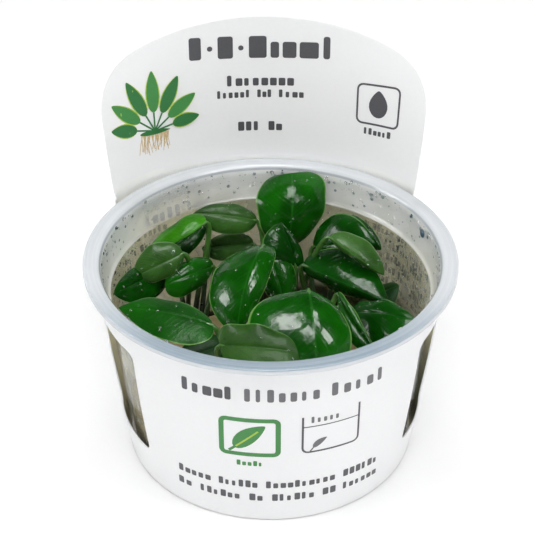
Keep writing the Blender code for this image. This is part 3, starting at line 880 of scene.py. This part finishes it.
# %% Inside of the card
def along_at(angle):
    """The place along the header whose foot is at this angle, found by halving, or None."""
    if not HEADER_LEFT[0] < angle < HEADER_RIGHT[0]:
        return None
    low, high = -HEADER_HALF, HEADER_HALF
    for _ in range(20):
        middle = 0.5 * (low + high)
        low, high = (middle, high) if foot_of_header(middle)[0] < angle else (low, middle)
    return low


def on_inside(across, below, lift):
    """A place on the card's inner face, in mm round from the middle of the back."""
    angle = degrees(across / card_radius(below))
    return card_point(angle, along_at(angle), below, -CARD - lift)


INSIDE_ROWS, INSIDE_TOP, INSIDE_SIZE, INSIDE_PITCH = 6, -16.9, 2.0, 3.4
flat = bmesh.new()
for row in range(INSIDE_ROWS):
    baseline = INSIDE_TOP - INSIDE_PITCH * row
    for start, end in ((-53.0, -26.0), (21.5, 56.0)):
        left = start + dice.uniform(0.0, 1.5)
        while left < end - 4.0:
            right = min(left + dice.uniform(3.0, 8.5), end)
            word(flat, left, right, baseline, INSIDE_SIZE, dice, GREY, 0.7)
            left = right + 1.1
for left, right, low, size in ((-36.5, -25.0, -14.2, 3.4), (-23.6, -17.5, -13.4, 2.8),
                               (24.0, 34.0, -12.6, 1.3)):
    word(flat, left, right, low, size, dice, GREY, 0.6)
wrap("print_inside", flat, on_inside, 1.4)

# %% [markdown]
# ## Gel, rhizomes and roots
#
# The plantlets stand in a clear-brown gel. Their rhizomes creep on it and their roots lie
# on it and dive in. Rhizomes and roots are both tubes of changing radius: one circle is
# drawn across the start, and each next ring is extruded, turned and resized from it.
# The middle of the gel is painted dark, for the shade under the leaves.

# %% Tubes
def tube(bm, points, radii, sides=8, material=0):
    """Adds a closed tube through the points, with a radius for each."""
    ahead = (points[1] - points[0]).normalized()
    start = Matrix.Translation(points[0]) @ Vector((0, 0, 1)).rotation_difference(ahead).to_matrix().to_4x4()
    ring = bmesh.ops.create_circle(
        bm, cap_ends=False, segments=sides, radius=radii[0], matrix=start)["verts"]
    edges = list({e for v in ring for e in v.link_edges})
    faces = bmesh.ops.edgeloop_fill(bm, edges=edges)["faces"]
    for i in range(1, len(points)):
        beyond = points[min(i + 1, len(points) - 1)] - points[i - 1]
        turn = ahead.rotation_difference(beyond.normalized())
        ahead = beyond.normalized()
        made = bmesh.ops.extrude_edge_only(bm, edges=edges)["geom"]
        edges = [g for g in made if isinstance(g, bmesh.types.BMEdge)]
        faces += [g for g in made if isinstance(g, bmesh.types.BMFace)]
        for v in (g for g in made if isinstance(g, bmesh.types.BMVert)):
            v.co = points[i] + turn @ (v.co - points[i - 1]) * (radii[i] / radii[i - 1])
    faces += bmesh.ops.edgeloop_fill(bm, edges=edges)["faces"]
    for face in faces:
        face.material_index = material


# %% Gel
gel_finish = Finish("growing_gel", {
    "IOR": 1.34, "Transmission Weight": 0.35, "Specular IOR Level": 0.6})
clouds = gel_finish.noise(90.0, 3.0)
place = gel_finish.place()
from_middle = (gel_finish.axis(place, "X") ** 2.0 + gel_finish.axis(place, "Y") ** 2.0) ** 0.5
near_wall = gel_finish.steps(from_middle + clouds * 0.008, 0.026, 0.037)
amber = gel_finish.mix(clouds, (0.54, 0.41, 0.19), (0.70, 0.58, 0.33))
gel_finish.show("Base Color", gel_finish.mix(near_wall, (0.030, 0.026, 0.010), amber))
gel_finish.show("Roughness", 0.12 + clouds * 0.2)
gel_finish.bump(gel_finish.noise(260.0, 2.0), 0.3, 0.0008)

GEL_LOW, GEL_HIGH = (corner.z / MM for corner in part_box("growth_gel"))
GEL = GEL_HIGH - 0.6
gel_profile = [
    (0.0, GEL), (wall_radius(GEL) - 4.0, GEL), (wall_radius(GEL) - 1.6, GEL + 0.1),
    (wall_radius(GEL) - 0.8, GEL + 0.25), (wall_radius(GEL_HIGH) - 0.35, GEL_HIGH),
    (wall_radius(2.6) - 0.3, 2.6), (wall_radius(GEL_LOW) - 1.6, GEL_LOW), (0.0, GEL_LOW),
]
GEL_STEPS = 96
bm = bmesh.new()
turn_round(bm, gel_profile, GEL_STEPS)
finish_piece("growing_gel", bm, [gel_finish], ["growth_gel"], 50.0)
print("gel from", round(GEL_LOW, 2), "to", round(GEL_HIGH, 2), "mm")

# %% Rhizomes
rhizome_finish = Finish("rhizome_skin", {"Specular IOR Level": 0.5})
patches = rhizome_finish.noise(500.0, 4.0)
rhizome_finish.show("Base Color", rhizome_finish.mix(patches, (0.09, 0.10, 0.03), (0.24, 0.22, 0.07)))
rhizome_finish.show("Roughness", 0.3 + patches * 0.3)
rhizome_finish.bump(patches, 0.5, 0.0006)

RHIZOMES = (
    (-11.5, -17.0, 160.0, 17.0), (9.0, -12.5, 20.0, 16.0), (-21.0, 12.5, 95.0, 17.0),
    (5.0, 15.5, 55.0, 16.0), (-5.0, 13.0, 80.0, 13.0), (17.0, 10.5, 115.0, 20.0),
)
RHIZOME_RADIUS = 2.2
RHIZOME_STEPS = 36
SCAR_PITCH = 2.1
REST_GAP = 0.3
for number, (x, y, heading, length) in enumerate(RHIZOMES, 1):
    bm = bmesh.new()
    way = Vector((cos(radians(heading)), sin(radians(heading)), 0.0))
    points, radii = [], []
    for i in range(RHIZOME_STEPS + 1):
        t = i / RHIZOME_STEPS
        middle = Vector((x, y, GEL + REST_GAP + RHIZOME_RADIUS)) + way * length * (t - 0.5)
        scar = abs(sin(pi * length * t / SCAR_PITCH)) ** 0.4
        end = min(1.0, 5.0 * t + 0.25, 5.0 * (1.0 - t) + 0.25)
        points.append(middle)
        radii.append(RHIZOME_RADIUS * (0.72 + 0.24 * scar) * sqrt(end))
    tube(bm, points, radii, 14)
    bmesh.ops.recalc_face_normals(bm, faces=bm.faces)
    finish_piece(f"rhizome_{number}_scarred", bm, [rhizome_finish], [f"rhizome_{number}"])
print(len(RHIZOMES), "rhizomes")

# %% Roots
root_finish = Finish("root_skin", {"Specular IOR Level": 0.5})
streaks = root_finish.noise(700.0, 3.0)
root_finish.show("Base Color", root_finish.mix(streaks, (0.42, 0.28, 0.12), (0.66, 0.52, 0.30)))
root_finish.show("Roughness", 0.35 + streaks * 0.25)
root_finish.bump(streaks, 0.3, 0.0004)

ROOTS = (
    (1, -0.20, 1, 13.0, 40.0), (1, 0.30, -1, 11.0, -35.0), (2, -0.10, -1, 12.0, 50.0),
    (2, 0.32, 1, 9.0, -45.0), (3, -0.15, 1, 12.0, 45.0), (5, 0.10, 1, 9.0, 50.0),
    (4, 0.25, -1, 5.0, -40.0), (6, -0.25, -1, 12.0, 60.0),
)
ROOT_RADIUS = 0.4
ROOT_STEPS = 18


def root_run(rhizome, place, side, length, curl, radius, rise, dive):
    """Points of a root that leaves a rhizome sideways, lies on the gel and may dive into it."""
    x, y, heading, rhizome_length = RHIZOMES[rhizome - 1]
    heading = radians(heading)
    clear = RHIZOME_RADIUS + REST_GAP + radius
    x += rhizome_length * place * cos(heading) - side * clear * sin(heading)
    y += rhizome_length * place * sin(heading) + side * clear * cos(heading)
    heading += side * 0.5 * pi
    points = []
    for i in range(ROOT_STEPS + 1):
        t = i / ROOT_STEPS
        height = GEL + REST_GAP + radius + rise * (1.0 - t) ** 2 - dive * t ** 3
        points.append(Vector((x, y, height)))
        x += length / ROOT_STEPS * cos(heading)
        y += length / ROOT_STEPS * sin(heading)
        heading += radians(curl) / ROOT_STEPS * (1.0 + 0.8 * sin(7.0 * t))
    return points


root_radii = [ROOT_RADIUS * (1.0 - 0.45 * i / ROOT_STEPS) for i in range(ROOT_STEPS + 1)]
for number, spec in enumerate(ROOTS, 1):
    bm = bmesh.new()
    tube(bm, root_run(*spec, ROOT_RADIUS, 1.4, 0.0), root_radii)
    bmesh.ops.recalc_face_normals(bm, faces=bm.faces)
    finish_piece(f"root_{number}_grown", bm, [root_finish], [f"root_{number}"])

FINE_ROOTS = 46
dice = random.Random(11)
bm = bmesh.new()
for i in range(FINE_ROOTS):
    radius = dice.uniform(0.14, 0.26)
    length = dice.uniform(4.0, 9.0)
    spec = (1 + i % len(RHIZOMES), dice.uniform(-0.45, 0.45), dice.choice((-1, 1)), length)
    points = root_run(*spec, dice.uniform(-70.0, 70.0), radius, dice.uniform(0.5, 2.2),
                      dice.uniform(0.0, 3.5))
    inside = [p for p in points if hypot(p.x, p.y) < wall_radius(GEL) - 1.5]
    if len(inside) > 4:
        tube(bm, inside, [radius] * len(inside), 5)
bmesh.ops.recalc_face_normals(bm, faces=bm.faces)
finish_piece("fine_roots", bm, [root_finish])
print("roots:", len(ROOTS), "main and", FINE_ROOTS, "fine")

# %% [markdown]
# ## Leaves
#
# An anubias leaf is one thick, waxy blade on a round stalk. The midrib lies in a shallow
# groove and the two halves swell beside it, so that a wet leaf carries one long highlight
# on each half. Fine side veins sweep from the midrib towards the tip.
#
# A blade could be a flat card with a picture on it, but the highlights would be wrong. Here
# a grid is laid between four places that the imported leaf also uses: heel, tip, and the two
# edges at the widest point. The same grid is laid twice, and the two sheets meet at the
# edge, so the blade is a closed lens. Its UV map runs along and across the leaf, and the
# finish draws midrib, veins and pale margin from it. Some leaves are wetter, brighter or
# duller than others, so there are several finishes, all made by one function. One of them
# is a darker copy, painted shade for the leaves deep in the cup.

# %% Leaf finishes
def leaf_finish(name, deep, light, rib, margin, rough, wet):
    """A leaf's skin: its colours, its roughness, and how much of it is under a water film."""
    made = Finish(name, {"Specular IOR Level": 0.13, "Coat Roughness": 0.03, "Coat IOR": 1.36})
    uv = made.node("ShaderNodeUVMap", {"uv_map": "blade"})
    along = made.axis(uv, "Y")
    across = abs(made.axis(uv, "X") * 2.0 - 1.0)
    sweep = along - across * 0.42
    fine = (sweep * 2 * pi * 17.0).sine() * 0.5 + 0.5
    broad = (sweep * 2 * pi * 6.0).sine() * 0.5 + 0.5
    veins = fine ** 6.0 * 0.5 + broad ** 10.0 * 0.5
    blotch = made.steps(made.noise(110.0, 3.0), 0.36, 0.64)
    grain = made.noise(1600.0, 3.0)
    shade = made.steps(made.noise(45.0, 2.0), 0.35, 0.7)
    body = made.mix(blotch * 0.55 + shade * 0.45, tuple(0.5 * c for c in deep),
                    tuple(1.2 * c for c in light))
    body = made.mix(made.steps(made.noise(70.0, 2.0), 0.55, 0.8) * 0.5, body, rib)
    body = made.mix(grain * 0.22, body, tuple(1.9 * c for c in light))
    body = made.mix(veins * 0.14, body, rib)
    body = made.mix((1.0 - made.steps(across, 0.012, 0.045)) * 0.35, body, rib)
    body = made.mix(made.steps(across, 0.945, 0.985) * 0.85, body, margin)
    made.show("Base Color", body)
    made.show("Roughness", rough + grain * 0.08)
    film = made.steps(made.noise(240.0, 2.0), 0.35, 0.6)
    made.show("Coat Weight", film * wet)
    dents = made.noise(150.0, 3.0)
    made.bump(veins * 0.2 + grain * 0.28 + film * 0.4 + dents * 1.6, 0.4, 0.0003)
    return made


LEAF_COLOURS = {
    "deep": ((0.0015, 0.036, 0.001), (0.003, 0.060, 0.0015), (0.012, 0.11, 0.012), (0.12, 0.28, 0.07),
             0.13, 0.35),
    "mid": ((0.002, 0.055, 0.001), (0.005, 0.090, 0.0015), (0.02, 0.15, 0.015), (0.16, 0.34, 0.08),
            0.13, 0.35),
    "bright": ((0.012, 0.130, 0.002), (0.035, 0.210, 0.003), (0.08, 0.30, 0.03), (0.26, 0.46, 0.10),
               0.18, 0.3),
    "satin": ((0.001, 0.036, 0.001), (0.004, 0.075, 0.001), (0.015, 0.12, 0.010), (0.16, 0.34, 0.08),
              0.26, 0.0),
    "wet": ((0.001, 0.045, 0.001), (0.004, 0.085, 0.001), (0.02, 0.15, 0.015), (0.16, 0.34, 0.08),
            0.13, 0.95),
    "dull": ((0.004, 0.050, 0.001), (0.020, 0.080, 0.003), (0.012, 0.065, 0.003), (0.10, 0.26, 0.05),
             0.42, 0.12),
    # The shade finish is a darker, duller copy of the deep one: painted shade for the leaves low in the cup.
    "shade": ((0.001, 0.018, 0.001), (0.002, 0.035, 0.001), (0.006, 0.05, 0.004), (0.04, 0.12, 0.02),
              0.45, 0.0),
}
LEAF_TONES = {tone: leaf_finish(f"leaf_{tone}", *colours) for tone, colours in LEAF_COLOURS.items()}
leaf_under = leaf_finish("leaf_under", (0.018, 0.072, 0.008), (0.032, 0.105, 0.014),
                         (0.08, 0.18, 0.06), (0.20, 0.34, 0.14), 0.28, 0.2)
stalk_finish = Finish("leaf_stalk", {"Specular IOR Level": 0.5, "Coat Weight": 0.4})
stalk_streak = stalk_finish.noise(420.0, 3.0)
stalk_tone = stalk_finish.mix(stalk_streak, (0.025, 0.10, 0.010), (0.07, 0.21, 0.03))
# Painted shade: low in the cup, under the leaves, the stalks are painted nearly black.
stalk_out_of_shade = stalk_finish.steps(stalk_finish.axis(stalk_finish.place(), "Z"), 0.026, 0.046)
stalk_finish.show("Base Color", stalk_finish.mix(stalk_out_of_shade, (0.004, 0.012, 0.002), stalk_tone))
stalk_finish.show("Roughness", 0.22 + stalk_streak * 0.15)
stalk_finish.bump(stalk_streak, 0.15, 0.0004)
print("leaf finishes:", list(LEAF_TONES))

# %% Leaf shape
BLADE_THICKNESS = 0.5
STALK_RADIUS = 0.75
GROOVE = 0.16
ACROSS, ALONG = 26, 40


def from_rim(x, y, below):
    """A place given by its height from the rim, which is negative below it."""
    return Vector((x, y, CUP_HEIGHT + below))


class Leaf:
    """One leaf: four places on its blade, the foot of its stalk, and how it bends.

    camber is how far each half swells between midrib and edge, droop how far the tip
    falls, wave how far the edges ripple, and point and base how bluntly the blade ends
    and begins. An under leaf shows its paler lower side upwards.
    """

    def __init__(self, heel, tip, left, right, arch, widest, foot, tone="mid", camber=0.8,
                 droop=0.0, wave=0.25, point=0.8, base=0.5, under=False):
        self.heel, self.tip = from_rim(*heel), from_rim(*tip)
        self.arch, self.widest = arch, widest
        self.tone, self.camber, self.droop, self.wave = tone, camber, droop, wave
        self.point_power, self.base_power, self.under = point, base, under
        self.foot = Vector((*foot, GEL + 2.0 * (REST_GAP + RHIZOME_RADIUS) + STALK_RADIUS))
        left, right = from_rim(*left), from_rim(*right)
        self.span = self.tip - self.heel
        side = right - left
        side -= self.span * (side.dot(self.span) / self.span.length_squared)
        self.side = side.normalized()
        self.up = self.side.cross(self.span.normalized())
        self.to_left = left - self.midrib(widest)
        self.to_right = right - self.midrib(widest)
        self.over_left = self.span.cross(self.to_left).normalized()
        self.over_right = self.to_right.cross(self.span).normalized()
        self.phase = 0.7 * heel[0] + 0.3 * heel[1]

    def midrib(self, s):
        bend = 4.0 * self.arch * s * (1.0 - s) - self.droop * s ** 4
        return self.heel + self.span * s + self.up * bend

    def width(self, s):
        """Half width along the midrib, 1 at the widest place."""
        if s < self.widest:
            return max(0.0, 1.0 - ((self.widest - s) / self.widest) ** 2) ** self.base_power
        past = (s - self.widest) / (1.0 - self.widest)
        return max(0.0, 1.0 - past * past) ** self.point_power

    def over(self, t):
        """The way out of the upper face, blended across the midrib."""
        blend = 0.5 + 0.5 * min(max(t / 0.3, -1.0), 1.0)
        return (self.over_left * (1.0 - blend) + self.over_right * blend).normalized()

    def place(self, s, t, sheet=0.0):
        """A place on the blade: s from heel to tip, t from left edge to right edge."""
        width = self.width(s)
        reach = (self.to_left if t < 0.0 else self.to_right) * (abs(t) * width)
        swell = self.camber * 4.0 * abs(t) * (1.0 - abs(t)) * width
        ripple = self.wave * sin(2 * pi * 2.3 * s + self.phase + 2.0 * t) * abs(t) ** 3 * width
        quilt = 0.018 * sin(2 * pi * 6.0 * (s - 0.42 * abs(t))) * (1.0 - t ** 4) * sin(pi * s)
        groove = -GROOVE * exp(-(t / 0.07) ** 2) * sin(pi * s) ** 0.5
        thick = 0.5 * BLADE_THICKNESS * sqrt(max(0.0, 1.0 - t ** 4)) * min(1.0, 9.0 * s, 9.0 * (1.0 - s))
        return self.midrib(s) + reach + self.over(t) * (swell + ripple + quilt + groove + sheet * thick)

    def stalk(self):
        """Points from the foot to the heel, then along the under side of the midrib."""
        start = (self.midrib(0.02) - self.midrib(0.0)).normalized()
        reach = (self.heel - self.foot).length
        under = Vector((0.0, 0.0, 0.12 * reach))
        a, d = self.foot, self.heel
        b, c = a + Vector((0.0, 0.0, 0.45 * reach)), d - start * 0.12 * reach - under
        points = []
        for i in range(13):
            t = i / 12
            points.append(a * (1 - t) ** 3 + b * 3 * t * (1 - t) ** 2 + c * 3 * t * t * (1 - t) + d * t ** 3)
        radii = [STALK_RADIUS * (1.25 - 0.25 * min(1.0, i / 4)) for i in range(12)] + [0.62 * STALK_RADIUS]
        for i in range(1, 10):
            s = 0.09 * i
            points.append(self.midrib(s) - self.over(0.0) * (0.25 + 0.12 * (1.0 - s)))
            radii.append(STALK_RADIUS * (0.5 - 0.38 * s))
        return points, radii


def make_leaf(number, leaf):
    """Blade and stalk as one piece."""
    bm = bmesh.new()
    uv = bm.loops.layers.uv.new("blade")
    for sheet in (1.0, -1.0):
        verts = bmesh.ops.create_grid(bm, x_segments=ACROSS, y_segments=ALONG, size=0.5)["verts"]
        faces = {f for v in verts for f in v.link_faces}
        for face in faces:
            for loop in face.loops:
                x, y = 2.0 * loop.vert.co.x, loop.vert.co.y + 0.5
                loop[uv].uv = (0.5 + 0.5 * x * abs(x) ** 0.3, 0.5 - 0.5 * cos(pi * y))
        if sheet < 0.0:
            bmesh.ops.reverse_faces(bm, faces=list(faces))
        upper = (sheet > 0.0) != leaf.under
        for face in faces:
            face.material_index = 0 if upper else 1
        for v in verts:
            x, y = 2.0 * v.co.x, v.co.y + 0.5
            v.co = leaf.place(0.5 - 0.5 * cos(pi * y), x * abs(x) ** 0.3, sheet)
    bmesh.ops.remove_doubles(bm, verts=bm.verts, dist=0.002)
    points, radii = leaf.stalk()
    tube(bm, points, radii, 10, 2)
    bmesh.ops.recalc_face_normals(bm, faces=bm.faces)
    finishes = [LEAF_TONES[leaf.tone], leaf_under, stalk_finish]
    return finish_piece(f"leaf_{number:02d}_grown", bm, finishes, [f"leaf_{number:02d}"], 70.0)


# %% The leaves
LEAVES = [
    Leaf((5, 29, -17), (6, 40, 1), (-4, 34, -5), (16, 37, -4), 6.0, 0.66, (6, 20), point=0.28, wave=0.5),
    Leaf((-4, 32, -10), (-22, 31, -7), (-13, 28, -12), (-12, 35, -6), 1.5, 0.5, (-3, 18), under=True),
    Leaf((-5, 32, -18), (-20, 34, -21), (-13, 29, -22), (-12, 35, -16), 1.0, 0.5, (-5, 15), under=True),
    Leaf((-18, 25, -6), (-35, 20, -13), (-26, 26, -9), (-25, 27, -6), 3.2, 0.4, (-22, 20), tone="bright"),
    Leaf((-19, 34, -13), (-31, 25, -20), (-23, 27, -18), (-27, 32, -16), 1.0, 0.5, (-20, 19), tone="deep"),
    Leaf((-24, 11, -7), (-38, 6, -12), (-29, 7, -13), (-33, 12, -5), 1.0, 0.5, (-24, 18), under=True,
         base=0.5, point=0.95, wave=0.5),
    Leaf((-28, 18, -16), (-42, -4, -10), (-33, 4, -18), (-37, 9, -10), 1.0, 0.5, (-23, 11), tone="deep"),
    Leaf((-16, 15, -14), (-29, 6, -14), (-24, 6, -18), (-24, 13, -11), 2.0, 0.66, (-20, 8), point=0.5),
    Leaf((-2, 12, -5), (-9, -9, -19), (0, 4, -9), (-16, 7, -12), 4.0, 0.36, (-6, 11), point=0.65,
         base=0.3, tone="wet"),
    Leaf((7, 18, -16), (3, 25, -6), (-2, 18, -10), (9, 20, -13), 1.0, 0.45, (5, 15), tone="deep"),
    Leaf((0, 18, -13), (4, 10, -23), (7, 16, -17), (-2, 13, -20), 1.0, 0.45, (2, 11), base=0.4),
    Leaf((12, 26, -15), (29, 17, -8), (20, 28, -5), (21, 20, -14), 2.0, 0.5, (13, 19), tone="deep"),
    Leaf((22, 31, -8), (31, 20, -12), (28, 26, -8), (26, 29, -15), 1.0, 0.5, (16, 16), tone="deep"),
    Leaf((16, 13, -3), (31, 6, -11), (26, 13, -4), (22, 11, -8), 2.0, 0.45, (8, 19), under=True, camber=0.4),
    Leaf((9, 14, -13), (32, 0, -16), (24, 15, -10), (19, 9, -19), 1.5, 0.6, (13, 15), tone="deep",
         base=0.6, camber=0.5, wave=0.5),
    Leaf((10, -9, -5), (12, -29, -19), (21, -20, -12), (-6, -21, -9), 4.0, 0.4, (9, -12), point=0.6,
         base=0.3, tone="wet"),
    Leaf((18, -4, -10), (27, -20, -16), (22, -11, -10), (21, -17, -16), 1.0, 0.5, (12, -12)),
    Leaf((21, -2, -18), (38, -13, -12), (30, -4, -12), (29, -16, -18), 2.0, 0.5, (15, -10), tone="deep",
         camber=0.5, wave=0.5),
    Leaf((-15, -22, -7), (-40, -13, -8), (-25, -27, -9), (-27, -12, -6), 1.5, 0.5, (-10, -18),
         base=0.5, point=0.85, camber=0.2, wave=0.3, tone="satin"),
    Leaf((-13, -28, -9), (7, -31, -9), (-6, -24, -5), (-3, -36, -12), 1.0, 0.45, (-6, -19), point=0.3,
         base=0.3, wave=0.8, camber=0.3, tone="dull"),
    Leaf((-12, -8, -24), (-27, -14, -27), (-18, -16, -28), (-20, -6, -23), 1.0, 0.5, (-14, -16),
         tone="shade"),
    Leaf((6, 2, -24), (19, 0, -29), (13, 6, -26), (12, -5, -28), 1.0, 0.5, (5, -14), tone="shade"),
    Leaf((31, -12, -37), (38, -10, -21), (34, -19, -28), (39, -2, -29), -1.0, 0.5, (22, 2), tone="shade"),
    Leaf((-31, -15, -38), (-39, -12, -22), (-39, -3, -29), (-33, -21, -29), -1.0, 0.5, (-18, -15),
         tone="shade"),
    Leaf((-2, 0, -24), (-1, -14, -29), (5, -6, -27), (-8, -7, -28), 2.0, 0.5, (-6, 8), tone="shade"),
    Leaf((24, 16, -30), (36, 14, -20), (31, 22, -26), (31, 8, -27), 1.0, 0.5, (17, 11), tone="shade"),
]
blades = [make_leaf(number, leaf) for number, leaf in enumerate(LEAVES, 1)]
print(len(blades), "leaves,", sum(len(b.data.polygons) for b in blades), "faces")

# %% [markdown]
# ## Water
#
# The air in a closed cup is saturated, so water stands on everything. Drops are flattened
# spheres of a few dozen faces, half sunk into what they sit on. They are strewn by a
# seeded dice, so that each run gives the same drops, and joined into a few pieces. Only
# the largest are listed one by one: some on the collar and one on a leaf.

# %% Drops
def water_finish(name, dark, light):
    """Clear water. The dark end stands for drops that show the shade behind them."""
    made = Finish(name, {"Roughness": 0.0, "IOR": 1.45, "Transmission Weight": 0.88})
    made.show("Base Color", made.mix(made.steps(made.noise(420.0), 0.42, 0.55), dark, light))
    return made


water = water_finish("water", (0.30, 0.55, 0.30), (0.80, 0.92, 0.80))
fine_water = water_finish("fine_water", (0.20, 0.27, 0.30), (1.0, 1.0, 1.0))
shaded_water = water_finish("shaded_water", (0.05, 0.11, 0.17), (0.10, 0.18, 0.26))

one_drop = bpy.data.meshes.new("one_drop")
bm = bmesh.new()
bmesh.ops.create_uvsphere(bm, u_segments=8, v_segments=5, radius=1.0)
bm.to_mesh(one_drop)
bm.free()


def add_drop(bm, centre, normal, radius, flat=0.55):
    """Adds a copy of the one drop, flattened against the surface under it."""
    turn = Vector((0, 0, 1)).rotation_difference(normal).to_matrix().to_4x4()
    size = Matrix.Diagonal((radius, radius, radius * flat, 1.0))
    drop = one_drop.copy()
    drop.transform(Matrix.Translation(centre) @ turn @ size)
    bm.from_mesh(drop)
    bpy.data.meshes.remove(drop)


def add_cup_drop(bm, turn, height, inside, radius, flat):
    """Adds a drop to the inside of the cup, whose radius at that height is inside(height)."""
    out = Vector((cos(turn), sin(turn), 0.0))
    add_drop(bm, out * inside(height) + Vector((0, 0, height)), -out, radius, flat)


# %% Drops on the leaves
TOP_LEAVES, DROPS_ON_LEAF = 20, 26
dice = random.Random(5)
bm = bmesh.new()
for leaf in LEAVES[:TOP_LEAVES]:
    for i in range(DROPS_ON_LEAF):
        s, t = dice.uniform(0.08, 0.92), dice.uniform(-0.9, 0.9)
        sheet = 1.0 if leaf.over(0.0).z > 0.0 else -1.0
        radius = 0.15 + 0.4 * dice.random() ** 3
        add_drop(bm, leaf.place(s, t, sheet), leaf.over(t) * sheet, radius)
dripping = LEAVES[5]
add_drop(bm, dripping.place(0.16, 0.3, 1.0), dripping.over(0.3), 0.8, 0.4)
finish_piece("drops_on_leaves", bm, [water], (), 80.0)
print("drops on", TOP_LEAVES, "leaves")

# %% Drops in the cup
COLLAR_DROPS, WALL_DROPS = 900, 1400
bm = bmesh.new()
for i in range(COLLAR_DROPS):
    turn = dice.uniform(0.0, 2 * pi)
    height = dice.uniform(LEDGE + 0.6, CUP_HEIGHT - 1.2)
    add_cup_drop(bm, turn, height, collar_radius, 0.14 + 0.5 * dice.random() ** 3, 0.4)
for i in range(WALL_DROPS):
    turn = dice.gauss(0.22, 0.4) if i % 5 else dice.gauss(2.7, 0.5)
    height = LEDGE - 1.0 - abs(dice.gauss(0.0, 9.0))
    if height < GEL + 4.0:
        continue
    add_cup_drop(bm, turn, height, wall_radius, 0.13 + 0.36 * dice.random() ** 3, 0.45)
mist_drops = finish_piece("drops_in_cup", bm, [fine_water], (), 80.0)
print("drops:", len(mist_drops.data.polygons), "faces in the cup")

# %% Large drops on the collar
LARGE_DROPS = (
    (21, 5.2, 1.4), (17, 5.9, 0.6), (30, 6.6, 0.45), (154, 5.2, 0.5),
    (160, 3.4, 0.4), (149, 6.4, 0.35), (8, 4.1, 0.45), (-2, 3.2, 0.4),
)
bm = bmesh.new()
for angle, above_ledge, radius in LARGE_DROPS:
    add_cup_drop(bm, radians(angle), LEDGE + above_ledge, collar_radius, radius, 0.35)
finish_piece("large_drops_in_cup", bm, [shaded_water], (), 80.0)
print("large drops:", len(LARGE_DROPS))

# %% Size of the finished model
box = [round(c / MM, 2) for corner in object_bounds() for c in corner]
print("box so far, mm:", box)
